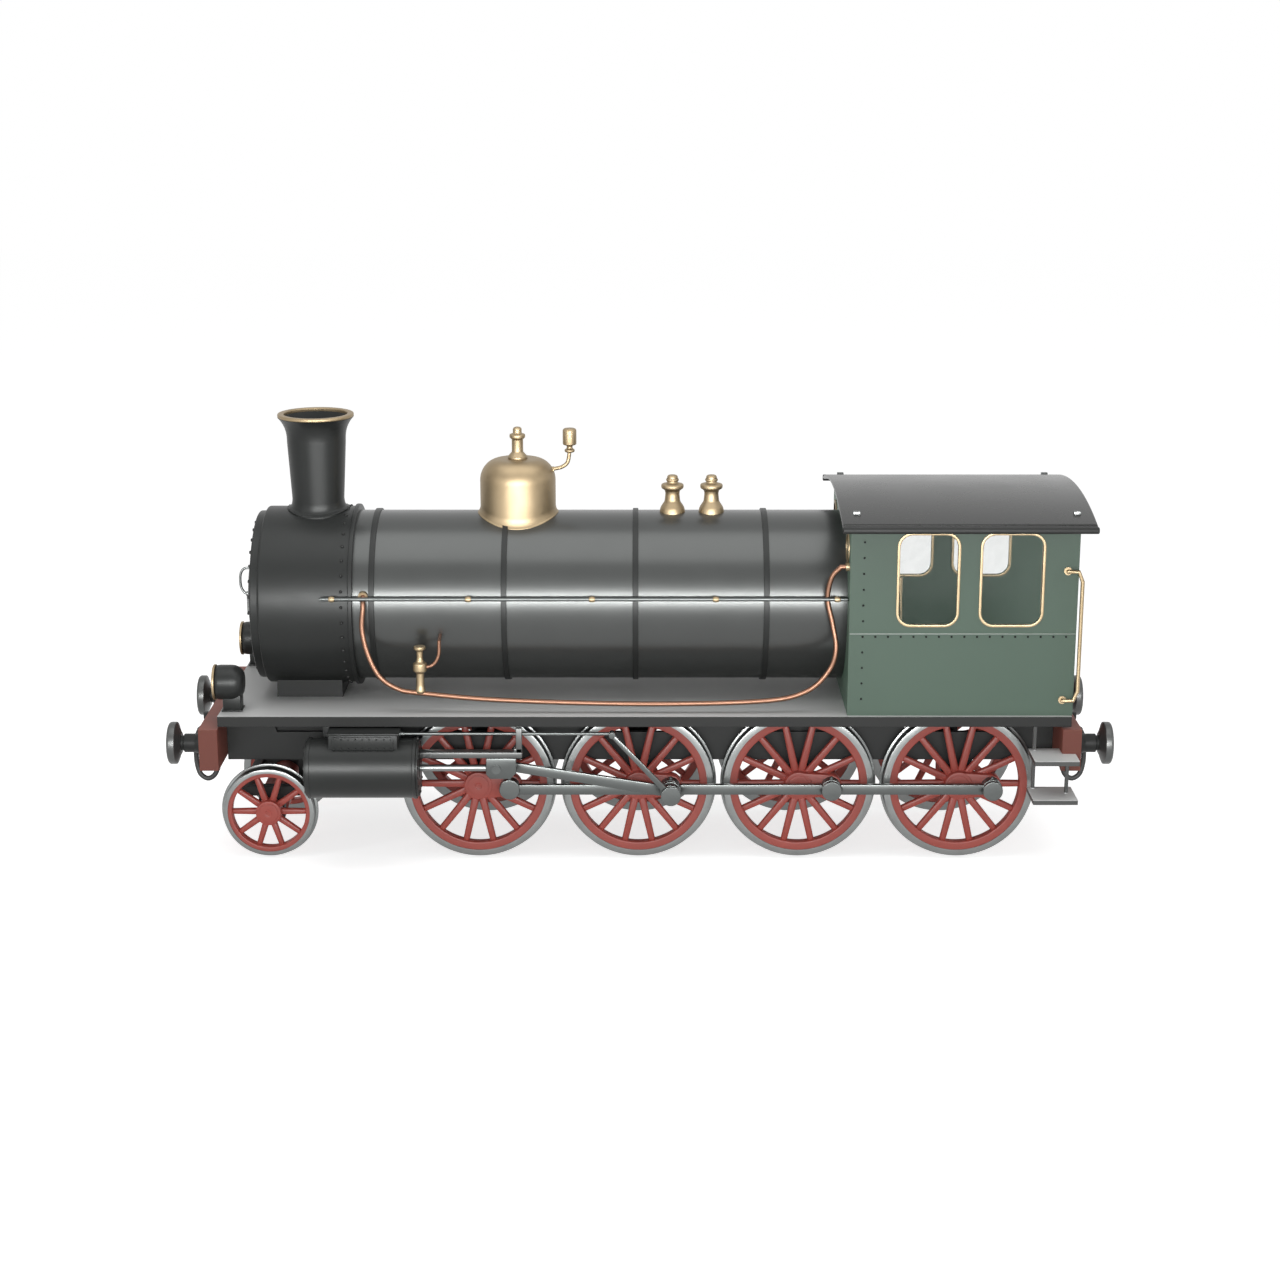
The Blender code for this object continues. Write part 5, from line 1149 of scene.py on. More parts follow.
@dataclass
class FeedPipes:
    """Copper feed pipes from the cab to the barrel's front, each with its brass check valve."""

    radius: float = 0.026
    route: tuple[Point, ...] = (
        (-2.760, -0.830, 2.790), (-2.758, -0.900, 2.770), (-2.755, -0.945, 2.680), (-2.767, -0.960, 2.467),
        (-2.712, -0.980, 2.215), (-2.597, -1.000, 1.992), (-2.420, -1.000, 1.868), (-2.201, -1.000, 1.826),
        (-1.402, -1.000, 1.753), (0.000, -1.000, 1.712), (1.202, -1.000, 1.740), (1.651, -1.000, 1.836),
        (1.877, -1.000, 2.044), (1.952, -1.000, 2.272), (1.918, -0.950, 2.524), (1.865, -0.912, 2.775),
        (1.901, -0.930, 2.997), (1.990, -0.950, 3.110))
    valve_x: float = -2.195
    valve_y: float = -1.000
    valve: Outline = ((0.040, 1.826), (0.052, 1.850), (0.040, 1.905), (0.040, 2.035), (0.070, 2.060),
                      (0.070, 2.135), (0.042, 2.150), (0.032, 2.190), (0.032, 2.265), (0.060, 2.280),
                      (0.060, 2.312))
    branch_r: float = 0.018
    branch: Outline = ((-2.195, 2.098), (-2.110, 2.100), (-2.045, 2.140), (-2.005, 2.230), (-2.000, 2.365))

    def build(self) -> None:
        """Make the pipe, its unions and the check valve of both sides."""
        start, end = Vector(self.route[0]), Vector((CAB_FRONT, *self.route[-1][1:]))
        top = Vector((self.branch[-1][0], self.valve_y, self.branch[-1][1]))
        for side in Side:
            copper, brass = Form(), Form()
            copper.tube([*smooth_route(self.route), end], self.radius)
            copper.tube(smooth_route([(x, self.valve_y, z) for x, z in self.branch]), self.branch_r)
            copper.tube([top + Vector((0, -0.004, -0.010)), top + Vector((0, 0.176, 0.020))], self.branch_r)
            brass.tube([start, start + Vector((0, -0.046, -0.006))], self.radius * 1.9)
            brass.tube([end - Vector((0.034, 0, 0)), end], self.radius * 1.7)
            brass.turn(rounded(solid(*self.valve), 0.008, 3), "Z", (self.valve_x, self.valve_y, 0))
            label = f"feed_pipe_{side.label}"
            copper.mirror_for(side).finish(f"{label}_run", COPPER, replaces=[label])
            brass.mirror_for(side).finish(f"{label}_valve", BRASS)


@dataclass
class Cylinders:
    """Lagged cylinder with covers, steam chest, bracket, slide bar and valve rod on either side."""

    axis: Point = (0, -CYLINDER_Y, CYLINDER_Z)
    flange_r: float = 0.3085
    lagging_r: float = 0.300
    front_x: float = -3.350
    rear_x: float = -2.200
    cover_r: float = 0.285
    cover_depth: float = 0.030
    flange_depth: float = 0.034
    rod_hole: float = 0.037
    rod_stop: float = 0.100
    stud_inset: float = 0.028
    chest_x: Pair = (-3.100, -2.410)
    chest_y: Pair = (-1.312, -0.900)
    chest_z: Pair = (1.250, 1.477)
    lid: float = 0.018
    lid_bolts: int = 9
    bracket: tuple[Pair, Pair, Pair] = ((-3.200, -2.470), (-0.950, -0.620), (1.005, 1.480))
    bar_x: Pair = (-2.206, -1.180)
    bar_y: Pair = (-1.190, -1.070)
    bar_z: Pair = (1.2003, 1.260)
    hanger_x: Pair = (-1.240, -1.180)
    hanger_y: Pair = (-1.190, -1.125)
    hanger_top: float = 1.5097
    valve_rod_r: float = 0.018
    valve_y: float = -1.100
    valve_z: float = 1.430
    valve_end_x: float = -0.278
    gland_r: float = 0.038
    gland_length: float = 0.050
    knuckle_r: float = 0.034
    knuckle_y: Pair = (-1.142, -1.082)

    def build(self) -> None:
        """Make both cylinders with all that is fixed to them."""
        for side in Side:
            label = f"cylinder_{side.label}"
            for form, name, finish, replaced in (
                    (self.barrel(), "barrel", SMOKEBOX_BLACK, [label]),
                    (self.chest(), "steam_chest", SMOKEBOX_BLACK, []),
                    (self.slide_bar(), "slide_bar", GEAR_BLACK, []),
                    (self.covers(), "covers", SMOKEBOX_BLACK, []),
                    (self.valve_rod(), "valve_rod", STEEL, [])):
                form.mirror_for(side).finish(f"{label}_{name}", finish, replaces=replaced)

    def barrel(self) -> Form:
        """Lagged barrel between its end flanges, hollow behind for the piston rod."""
        front, rear = self.front_x + self.cover_depth, self.rear_x - self.cover_depth
        inner_front, inner_rear, stop = front + self.flange_depth, rear - self.flange_depth, \
            self.front_x + self.rod_stop
        outside = rounded([(0, front), (self.flange_r, front), (self.flange_r, inner_front),
                           (self.lagging_r, inner_front), (self.lagging_r, inner_rear),
                           (self.flange_r, inner_rear), (self.flange_r, rear), (self.rod_hole, rear)], 0.006)
        return Form().turn([*outside, (self.rod_hole, stop), (0, stop)], "X", self.axis, FULL)

    def covers(self) -> Form:
        """Front and rear covers with their bolts, and the piston rod's gland."""
        radius, hole, seat = self.cover_r, self.rod_hole, self.cover_depth + EMBED
        front = [(0, seat), *rounded([(radius, seat), (radius, 0.010), (radius - 0.060, 0.010),
                                      (radius - 0.078, 0), (0, 0)], 0.008)]
        rear = looped([(hole, -seat), (radius, -seat), (radius, -0.008), (0.105, -0.008), (0.095, 0),
                       (hole, 0)], 0.008)
        form, across = Form(), self.axis[1:]
        form.turn(front, "X", (self.front_x, *across), FULL)
        form.turn(rear, "X", (self.rear_x, *across), FULL, ring=True)
        for x, height in ((self.front_x + 0.010, -0.010), (self.rear_x - 0.008, 0.008)):
            form.bolt_circle("X", (x, *across), 16, radius - self.stud_inset, (0.015, height), 0.1)
        return form

    def chest(self) -> Form:
        """Steam chest with its bolted lids, and the bracket on the frame."""
        (rear, front), (outer, inner), (low, top) = self.chest_x, self.chest_y, self.chest_z
        form = Form().block(self.chest_x, self.chest_y, self.chest_z, 0.012)
        form.block((rear - 0.012, front + 0.012), (outer - 0.012, inner),
                   (top - EMBED, top + self.lid), 0.004)
        form.block((rear + 0.040, front - 0.040), (outer - self.lid, outer + EMBED),
                   (low + 0.075, top - 0.020), 0.005)
        for index in range(self.lid_bolts):
            x = rear + 0.060 + index * (front - rear - 0.120) / (self.lid_bolts - 1)
            for z in (top - 0.038, low + 0.093):
                form.bolt("Y", (x, outer - self.lid, z), 0.009, -0.010)
        return form.block(*self.bracket, 0.010)

    def slide_bar(self) -> Form:
        """Slide bar with its hanger from the footplate."""
        low, high = self.bar_z
        form = Form().block(self.bar_x, self.bar_y, self.bar_z, 0.006)
        form.block(self.hanger_x, self.hanger_y, (high - EMBED, self.hanger_top), 0.005)
        form.block((self.hanger_x[0] - 0.022, self.hanger_x[1]), (self.hanger_y[0], self.hanger_y[1] + 0.004),
                   (high - EMBED, high + 0.040), 0.006)
        for offset in (0.050, 0.110):
            form.bolt("Y", (self.bar_x[0] + offset, self.bar_y[0], (low + high) / 2), 0.014, -0.010)
        return form

    def valve_rod(self) -> Form:
        """Valve rod with its gland on the chest and the knuckle at its end."""
        start = self.chest_x[1]
        neck = self.gland_r * 0.72
        form = Form().bar("X", (0, self.valve_y, self.valve_z), self.valve_rod_r,
                          (start - EMBED, self.valve_end_x))
        gland = solid((self.gland_r, -EMBED), (self.gland_r, 0.016), (neck, 0.020), (neck, self.gland_length))
        form.turn(rounded(gland, 0.004), "X", (start, self.valve_y, self.valve_z))
        return form.bar("Y", (self.valve_end_x, 0, self.valve_z), self.knuckle_r, self.knuckle_y, 0.005)


@dataclass
class Wheels:
    """Spoked wheels of one axle, about the origin until they are placed."""

    number: str
    body: str
    axle: Point
    spokes: int
    flange_r: float
    tread_r: float
    tyre_inner: float
    rim_inner: float
    hub_r: float
    hub_y: float
    axle_r: float
    spoke_width: Pair
    back_y: float = -0.685
    face_y: float = -0.815
    flange_y: float = -0.720
    spoke_y: Pair = (-0.782, -0.720)
    inset: float = 0.010
    spoke_round: float = 0.022
    end_r: float = 0.030
    end_y: float = 0.0035

    def build(self) -> None:
        """Make the tyres, centres and axle."""
        for side in Side:
            label = f"wheel_{self.number}_{side.label}"
            self.put(self.tyre(), side).finish(f"{label}_tyre", BRIGHT_STEEL, self.body)
            self.put(self.centre(), side).finish(f"{label}_centre", WHEEL_RED, self.body, [label])
            self.extras(side)
        half = self.axle_half()
        profile = [*half, *[(radius, -along) for radius, along in reversed(half)]]
        Form().turn(profile, "Y", self.axle, ROUND).finish(
            f"axle_{self.number}_bar", WHEEL_RED, self.body, [f"axle_{self.number}"])

    def put(self, form: Form, side: Side) -> Form:
        """Move a left wheel's piece to its axle, turned round and a quarter on for the right."""
        turn = Matrix.Identity(4)
        if side is Side.RIGHT:
            turn = Matrix.Rotation(math.pi, 4, "Z") @ Matrix.Rotation(-QUARTER, 4, "Y")
        form.bm.transform(Matrix.Translation(Vector(self.axle)) @ turn)
        return form

    def extras(self, side: Side) -> None:
        """Pieces that only some wheels have."""

    def tyre(self) -> Form:
        """Flanged steel tyre."""
        face, back, root = self.face_y, self.back_y, self.flange_y
        flange, tread = self.flange_r, self.tread_r
        loop = [(self.tyre_inner, back), (flange - 0.012, back), (flange - 0.003, back - 0.004),
                (flange, back - 0.012), (flange, back - 0.018), (flange - 0.004, back - 0.026),
                (tread + 0.008, root + 0.003), (tread + 0.002, root - 0.002), (tread, root - 0.008),
                (tread, face + 0.010), (tread - 0.003, face + 0.003), (tread - 0.010, face),
                (self.tyre_inner, face)]
        return Form().turn(loop, "Y", (0, 0, 0), FULL, ring=True)

    def centre(self) -> Form:
        """Rim, spokes, hub and the cap over the axle's end."""
        face, back = self.face_y + self.inset, self.back_y - self.inset
        outer, inner = self.tyre_inner + 0.002, self.rim_inner
        loop = rounded([(outer, back), (inner, back), (inner, face), (outer, face)], 0.014)
        form = Form().turn(loop, "Y", (0, 0, 0), FULL, ring=True)
        root, tip = (width / 2 for width in self.spoke_width)
        start, end = self.hub_r - 0.020, inner + 0.012
        outline = [(start, -root), (end, -tip), (end, tip), (start, root)]
        for index in range(self.spokes):
            turn = Matrix.Rotation(math.tau * index / self.spokes, 4, "Y")
            form.slab(outline, "Y", self.spoke_y, self.spoke_round, turn, 3)
        form.hoop("Y", (0, 0, 0), (self.axle_r, self.hub_r), (self.back_y, self.hub_y), 0.014)
        rim = self.axle_r + 0.014
        cap = solid((rim, 0.010), (rim, -0.006), (0.034, -0.006), (0.028, 0))
        return form.turn(rounded(cap, 0.004), "Y", (0, self.hub_y, 0), ROUND)

    def axle_half(self) -> list[Pair]:
        """Left half of the axle's profile, with its turned end."""
        tip = self.hub_y - self.end_y
        return rounded([(0, tip + 0.010), (self.end_r, tip + 0.010), (self.end_r, tip),
                        (self.axle_r, tip)], 0.004)


@dataclass
class DrivingWheels(Wheels):
    """Coupled wheels with their crank pins."""

    collars: tuple[Pair, ...] = ()
    crank_r: float = 0.115
    pin_r: float = 0.0595
    collar_r: float = 0.100
    sleeve_y: float = 0.912

    def centre(self) -> Form:
        """Wheel centre with the crank's web."""
        web = link_outline((0, 0), self.hub_r * 0.96, (CRANK_THROW, 0), self.crank_r)
        return super().centre().slab(web, "Y", (self.hub_y + 0.004, self.spoke_y[1]), 0.012, segments=3)

    def extras(self, side: Side) -> None:
        """Crank pin with its sleeve and collars."""
        at = (CRANK_THROW, 0, 0)
        pin = solid((self.collar_r, self.hub_y + EMBED), (self.collar_r, -self.sleeve_y),
                    (self.pin_r, -self.sleeve_y), (self.pin_r, EMBED - self.collars[-1][1]))
        form = Form().turn(rounded(pin, 0.005), "Y", at, ROUND)
        for inner, outer in self.collars:
            form.bar("Y", at, self.collar_r, (-inner, -outer), 0.006, ROUND)
        self.put(form, side).finish(f"crank_pin_{self.number}_{side.label}", STEEL, self.body)


@dataclass
class PonyWheelset(Wheels):
    """Pony wheels on an axle with a thick middle."""

    end_r: float = 0.026
    drum_r: float = 0.160
    drum_end: float = 0.440

    def axle_half(self) -> list[Pair]:
        """Left half of the axle's profile, with its thick middle."""
        tip = self.hub_y - self.end_y
        return rounded([(0, tip + 0.010), (self.end_r, tip + 0.010), (self.end_r, tip), (self.axle_r, tip),
                        (self.axle_r, -self.drum_end), (self.drum_r, -self.drum_end)], 0.006)


@dataclass
class Rods:
    """Side rods, connecting rods and eccentric rods on the crank pins."""

    axle_x: tuple[float, ...] = (-1.645, -0.015, 1.615, 3.245)
    axle_z: float = 0.795
    pin_r: float = 0.0600
    side_ys: Pair = (0.915, 0.975)
    side_half: float = 0.0525
    side_eye: float = 0.105
    oil_cup: Outline = ((0.020, -0.006), (0.020, 0.020), (0.012, 0.028))
    main_ys: Pair = (0.995, 1.045)
    main_halves: Pair = (0.058, 0.048)
    main_eyes: Pair = (0.108, 0.068)
    gudgeon_r: float = 0.045
    gudgeon_out: float = 1.055
    eccentric_ys: Pair = (1.145, 1.175)
    eccentric_halves: Pair = (0.030, 0.0204)
    eccentric_eyes: Pair = (0.088, 0.034)
    eccentric_top: Pair = (-0.278, 1.430)

    def crank(self, side: Side, index: int) -> Pair:
        """Place of a crank pin, as (x, z): behind the axle at the left, above it at the right."""
        along, up = (CRANK_THROW, 0) if side is Side.LEFT else (0, CRANK_THROW)
        return (self.axle_x[index] + along, self.axle_z + up)

    def build(self) -> None:
        """Make the three rods of both sides."""
        for side in Side:
            gudgeon = (GUDGEON_X[side], CYLINDER_Z)
            main = self.tapered(side, gudgeon, side.span(self.main_ys), self.main_eyes, self.main_halves,
                                (0.012, 0.009, 0.007), ROUND)
            out = side.span((self.main_ys[1] - EMBED, self.gudgeon_out))
            main.bar("Y", (gudgeon[0], 0, gudgeon[1]), self.gudgeon_r, out)
            eccentric = self.tapered(side, self.eccentric_top, side.span(self.eccentric_ys),
                                     self.eccentric_eyes, self.eccentric_halves, (0.010, 0.006, 0.005),
                                     SMALL)
            for form, kind in ((self.side_rod(side), "side_rod"), (main, "connecting_rod"),
                               (eccentric, "eccentric_rod")):
                label = f"{kind}_{side.label}"
                form.finish(f"{label}_bar", STEEL, label, [label])

    @staticmethod
    def shank(form: Form, start: Pair, end: Pair, trims: Pair, halves: Pair, ys: Pair,
              bevel: float = 0.007) -> None:
        """Straight bar of a rod between two eyes.

        Args:
            form: The rod's form.
            start: Middle of the first eye, as (x, z).
            end: Middle of the second eye.
            trims: How far the bar starts from each middle.
            halves: Half its height at each end.
            ys: Its low and high Y.
            bevel: Width of its bevels.
        """
        first, last = Vector(start), Vector(end)
        way = (last - first).normalized()
        rise = Vector((-way.y, way.x))
        near, far = first + way * trims[0], last - way * trims[1]
        outline = [near - rise * halves[0], far - rise * halves[1], far + rise * halves[1],
                   near + rise * halves[0]]
        form.slab([tuple(point) for point in outline], "Y", ys, bevel)

    def side_rod(self, side: Side) -> Form:
        """Coupling rod over the four crank pins, with an oil cup on each eye."""
        form, ys = Form(), side.span(self.side_ys)
        pins = [self.crank(side, index) for index in range(len(self.axle_x))]
        for x, z in pins:
            form.hoop("Y", (x, 0, z), (self.pin_r, self.side_eye), ys, 0.007)
            form.turn(solid(*self.oil_cup), "Z", (x, sum(ys) / 2, z + self.side_eye), FINE)
        trim = self.side_eye - 0.012
        for start, end in zip(pins, pins[1:]):
            self.shank(form, start, end, (trim, trim), (self.side_half, self.side_half), ys)
        return form

    def tapered(self, side: Side, end: Pair, ys: Pair, eyes: Pair, halves: Pair,
                edges: tuple[float, float, float], sides: int) -> Form:
        """Rod from the main crank pin to a small round end.

        Args:
            side: Its side.
            end: Middle of its small end, as (x, z).
            ys: Its low and high Y.
            eyes: Radius of its big eye and of its small end.
            halves: Half its height at each end.
            edges: How far the bar runs into the big eye, its bevel and the small end's bevel.
            sides: Number of sides of the small end.

        Returns:
            The rod's form.
        """
        x, z = crank = self.crank(side, 1)
        overlap, bevel, small_bevel = edges
        form = Form().hoop("Y", (x, 0, z), (self.pin_r, eyes[0]), ys, 0.007)
        form.bar("Y", (end[0], 0, end[1]), eyes[1], ys, small_bevel, sides)
        self.shank(form, crank, end, (eyes[0] - overlap, eyes[1] * 0.5), halves, ys, bevel)
        return form


@dataclass
class Crossheads:
    """Crosshead under the slide bar, with its piston rod."""

    ys: Pair = (1.060, 1.200)
    ahead: float = 0.100
    behind: float = 0.200
    low: float = 0.985
    top: float = 1.1997
    nose: float = 0.006
    cap_r: float = 0.046
    cap_rise: float = 0.012
    rod_r: float = 0.035
    rod_length: float = 0.910

    def build(self) -> None:
        """Make the crosshead and the piston rod of both sides."""
        for side in Side:
            x, body = GUDGEON_X[side], f"crosshead_{side.label}"
            front, rear = x - self.ahead, x + self.behind
            outline = [(front, self.low + 0.045), (front + 0.040, self.low), (rear - 0.060, self.low),
                       (rear, self.low + 0.060), (rear, self.top - 0.048), (rear, self.top),
                       (front, self.top)]
            axis = (0, side.value * CYLINDER_Y, CYLINDER_Z)
            nose = solid((0.052, front - self.nose), (0.060, front + EMBED))
            block = Form().slab(outline, "Y", side.span(self.ys), 0.007).turn(rounded(nose, 0.006), "X", axis)
            cap = side.span((self.ys[1] - EMBED, self.ys[1] + self.cap_rise))
            block.bar("Y", (x, 0, CYLINDER_Z), self.cap_r, cap)
            block.finish(f"{body}_block", STEEL, body, [body])
            Form().bar("X", axis, self.rod_r, (x - self.rod_length, front)).finish(
                f"piston_rod_{side.label}", BRIGHT_STEEL, body)


@dataclass
class Lamps:
    """Headlamps on their blocks at the front of the footplate."""

    z: float = 1.900
    front_x: float = -4.283
    length: float = 0.303
    radius: float = 0.180
    rim_depth: float = 0.024
    glass_r: float = 0.150
    glass_x: float = 0.030
    glass_bulge: float = 0.022
    back_r: float = 0.120
    back_round: float = 0.080
    base_x: Pair = (-4.190, -4.010)
    base_half: float = 0.090
    base_z: Pair = (1.6163, 1.780)
    foot_out: float = 0.012

    def build(self) -> None:
        """Make the body, rim and glass of both lamps."""
        shell, glass = self.radius - 0.004, self.glass_r + 0.002
        body = rounded(solid((shell, 0.016), (shell, self.length - self.back_round),
                             (self.back_r, self.length)), 0.050, 6)
        rim = looped([(self.radius - 0.010, self.rim_depth), (self.radius, self.rim_depth), (self.radius, 0),
                      (self.glass_r, 0), (self.glass_r, self.rim_depth)], 0.008)
        lens = [(0, 0.034), (glass, 0.034), (glass, self.glass_x),
                *ellipse((0, self.glass_x), self.glass_r, -self.glass_bulge, 8)[1:]]
        for side in Side:
            label, y = f"lamp_{side.label}", side.value * BUFFER_Y
            centre = (self.front_x, y, self.z)
            form = Form().turn(body, "X", centre, ROUND)
            for out, high, bevel in ((0.0, self.base_z[1], 0.008),
                                     (self.foot_out, self.base_z[0] + 0.014, 0.003)):
                half = self.base_half + out
                form.block((self.base_x[0] - out, self.base_x[1] + out), (y - half, y + half),
                           (self.base_z[0], high), bevel)
            form.finish(f"{label}_body", SMOKEBOX_BLACK, replaces=[label])
            Form().turn(rim, "X", centre, ROUND, ring=True).finish(f"{label}_rim", BRASS)
            Form().turn(lens, "X", centre, ROUND).finish(f"{label}_lens", LAMP_LENS)


@dataclass
class Buffers:
    """Sprung buffers: collar with bolts, shank and domed head."""

    z: float = 1.260
    collar_r: float = 0.130
    collar_length: float = 0.045
    shank_r: float = 0.095
    shank_length: float = 0.228
    neck_r: float = 0.110
    head_r: float = 0.215
    head_start: float = 0.273
    total: float = 0.3648

    def build(self) -> None:
        """Make the four buffers, each in three finishes."""
        wide, thin = self.shank_r + 0.014, self.shank_r * 0.80
        collar = rounded(solid((self.collar_r, SEAT), (self.collar_r, self.collar_length * 0.6)), 0.006)
        stock = rounded(solid((wide, EMBED), (wide, self.collar_length),
                              (self.shank_r, self.collar_length + 0.040),
                              (self.shank_r, self.shank_length - 0.030), (thin, self.shank_length - 0.028),
                              (thin, self.shank_length + 0.010)), 0.008)
        head = rounded([(0, self.shank_length), (self.neck_r, self.shank_length),
                        (self.neck_r + 0.012, self.shank_length + 0.010),
                        (self.head_r, self.head_start), (self.head_r, self.total - 0.030),
                        (self.head_r - 0.014, self.total - 0.014), (self.head_r * 0.55, self.total - 0.004),
                        (0, self.total)], 0.010)
        for end in End:
            for side in Side:
                label = f"buffer_{end.label}_{side.label}"
                centre = (end.value * BEAM_FACE, side.value * BUFFER_Y, self.z)
                forms = [Form().turn([(radius, end.value * along) for radius, along in outline],
                                     "X", centre, ROUND) for outline in (collar, stock, head)]
                spot = (end.value * (BEAM_FACE + self.collar_length * 0.55), *centre[1:])
                forms[0].bolt_circle("X", spot, 6, self.collar_r - 0.020, (0.013, end.value * 0.014), 0.5)
                forms[0].finish(f"{label}_collar", COLLAR_GREY, replaces=[label])
                forms[1].finish(f"{label}_stock", FRAME_BLACK)
                forms[2].finish(f"{label}_head", GEAR_BLACK)


@dataclass
class BrakeHoses:
    """Rubber hoses under the beams, each with its steel couplings."""

    y: float = -0.200
    radius: float = 0.026
    low: float = 1.0647
    route: Outline = ((0.070, 1.240), (0.150, 1.215), (0.200, 1.120), (0.215, 0.960), (0.212, 0.830),
                      (0.180, 0.715), (0.105, 0.665), (0.030, 0.710), (-0.010, 0.820), (-0.030, 0.960))

    def build(self) -> None:
        """Make both hoses, each with a coupling at its ends and a clip near each."""
        for end in End:
            label = f"brake_hose_{end.label}"
            points = smooth_route([(end.value * (BEAM_FACE + out), self.y, z) for out, z in self.route])
            start = Vector((end.value * (BEAM_FACE + SEAT), self.y, self.route[0][1]))
            last = Vector((points[-1].x, self.y, self.low))
            Form().tube([start, *points, last], self.radius, 5).finish(f"{label}_rubber", RUBBER,
                                                                       replaces=[label])
            metal = Form().tube([start, start + Vector((end.value * 0.062, 0, 0))], self.radius * 1.45)
            metal.tube([last - Vector((0, 0, 0.070)), last], self.radius * 1.35)
            for spot in (10, len(points) - 12):
                way = (points[spot + 1] - points[spot]).normalized() * 0.010
                metal.tube([points[spot] - way, points[spot] + way], self.radius * 1.16)
            metal.finish(f"{label}_couplings", GEAR_BLACK)


@dataclass
class Cab:
    """Roof, trim, glass and grab rails of the cab."""

    front_x: float = 2.070
    rear_x: float = 4.320
    half: float = 1.085
    wall: float = 0.030
    windows: tuple[Pair, Pair] = ((2.555, 3.125), (3.370, 3.960))
    window_z: Pair = (2.555, 3.460)
    corner_r: float = 0.120
    frame_width: float = 0.026
    frame_rise: float = 0.012
    pane_half: float = 0.003
    pane_edge: float = 0.001
    waist_z: float = 2.460
    waist_half: float = 0.007
    rivet_row: tuple[float, ...] = tuple(2.205 + 0.126 * index for index in range(17))
    rivet_column: tuple[int, ...] = tuple(step for step in range(-4, 7) if step)
    rivet_drop: float = 0.030
    column_gap: float = 0.160
    rivet_r: float = 0.0115
    spectacle_y: float = 0.790
    spectacle_z: float = 3.270
    spectacle_r: float = 0.130
    roof_x: Pair = (1.966, 4.451)
    roof_half: float = 1.330
    roof_crown: float = 3.760
    roof_radius: float = 5.0036
    roof_thick: float = 0.040
    roof_steps: int = 32
    eave_r: float = 0.034
    seam: Outline = ((1.245, -0.006), (1.275, -0.006), (1.275, 0.006), (1.245, 0.006))
    lug_y: float = 1.000
    lug_inset: float = 0.160
    rail_r: float = 0.0205
    rail_out: float = 0.040
    rail_back: float = 0.032
    rail_z: Pair = (1.780, 3.100)
    rail_reach: float = 0.110
    rail_bend: float = 0.100
    lever_ends: tuple[Point, Point] = ((2.640, -0.760, 1.620), (2.600, -0.760, 2.930))

    def build(self) -> None:
        """Make the roof, both sides' trim, the round windows and the lever."""
        self.roof()
        self.spectacles()
        for side in Side:
            self.trim(side)
            self.glazing(side)
            self.grab_rail(side)
        foot, top = (Vector(end) for end in self.lever_ends)
        lever = Form().tube([foot, top], 0.016)
        lever.tube([top - Vector((0, 0, 0.130)), top + Vector((0, 0, 0.030))], 0.024)
        lever.finish("cab_lever", BRASS)

    def roof_height(self, y: float) -> float:
        """Height of the roof's outer face at a distance from the middle."""
        return self.roof_crown - self.roof_radius + math.sqrt(self.roof_radius ** 2 - y ** 2)

    def roof(self) -> None:
        """Arched sheet with rounded ends, eave beads, a seam beside each eave and lifting lugs."""
        front, rear = self.roof_x
        ys = [self.roof_half * (2 * step / self.roof_steps - 1) for step in range(self.roof_steps + 1)]
        outline = [(y, self.roof_height(y)) for y in ys]
        outline += [(y, z - self.roof_thick) for y, z in reversed(outline)]
        sheet, lugs, beads = Form().slab(outline, "X", self.roof_x, 0.016, segments=3), Form(), Form()
        top = self.roof_height(self.lug_y)
        level = self.roof_height(self.roof_half) - self.roof_thick / 2
        for side in Side:
            for x in (front + self.lug_inset, rear - self.lug_inset):
                lugs.block((x - 0.034, x + 0.034), side.span((self.lug_y - 0.024, self.lug_y + 0.024)),
                           (top - 0.020, top + 0.022), 0.004)
            eave = (0, side.value * self.roof_half * (1 - 0.0001), level)
            beads.bar("X", eave, self.eave_r, self.roof_x, self.eave_r * 0.4)
            strip = [(side.value * y, self.roof_height(y) + rise) for y, rise in self.seam]
            beads.slab(strip, "X", (front + 0.012, rear - 0.012), 0.002)
        sheet.finish("cab_roof_sheet", ROOF_GREY, replaces=["cab_roof"])
        lugs.finish("cab_roof_lugs", BRIGHT_STEEL)
        beads.finish("cab_roof_beads", RIVET_BLACK)

    def trim(self, side: Side) -> None:
        """Waist strip and rivets on the outer face, brass frames round the windows inside and out."""
        strip, rivets, frames = Form(), Form(), Form()
        strip.block((self.front_x + 0.004, self.rear_x - 0.004),
                    side.span((self.half - EMBED, self.half + 0.008)),
                    (self.waist_z - self.waist_half, self.waist_z + self.waist_half), 0.003)
        row = self.waist_z - self.rivet_drop
        spots = [(x, row) for x in self.rivet_row]
        spots += [(self.rivet_row[0], row + self.column_gap * step) for step in self.rivet_column]
        for x, z in spots:
            rivets.dome((x, side.value * self.half, z), self.rivet_r)
        inner = self.half - self.wall
        for window in self.windows:
            hole, grown = (rounded_box(window, self.window_z, self.corner_r, grow)
                           for grow in (0.0, self.frame_width))
            for ys in ((self.half - 0.020, self.half + self.frame_rise),
                       (inner - self.frame_rise, inner + 0.006)):
                frames.frame(hole, grown, side.span(ys), 0.004)
        strip.finish(f"cab_{side.label}_waist_strip", TRIM_GREEN)
        rivets.finish(f"cab_{side.label}_rivets", RIVET_GREEN)
        frames.finish(f"cab_{side.label}_window_frames", BRASS)

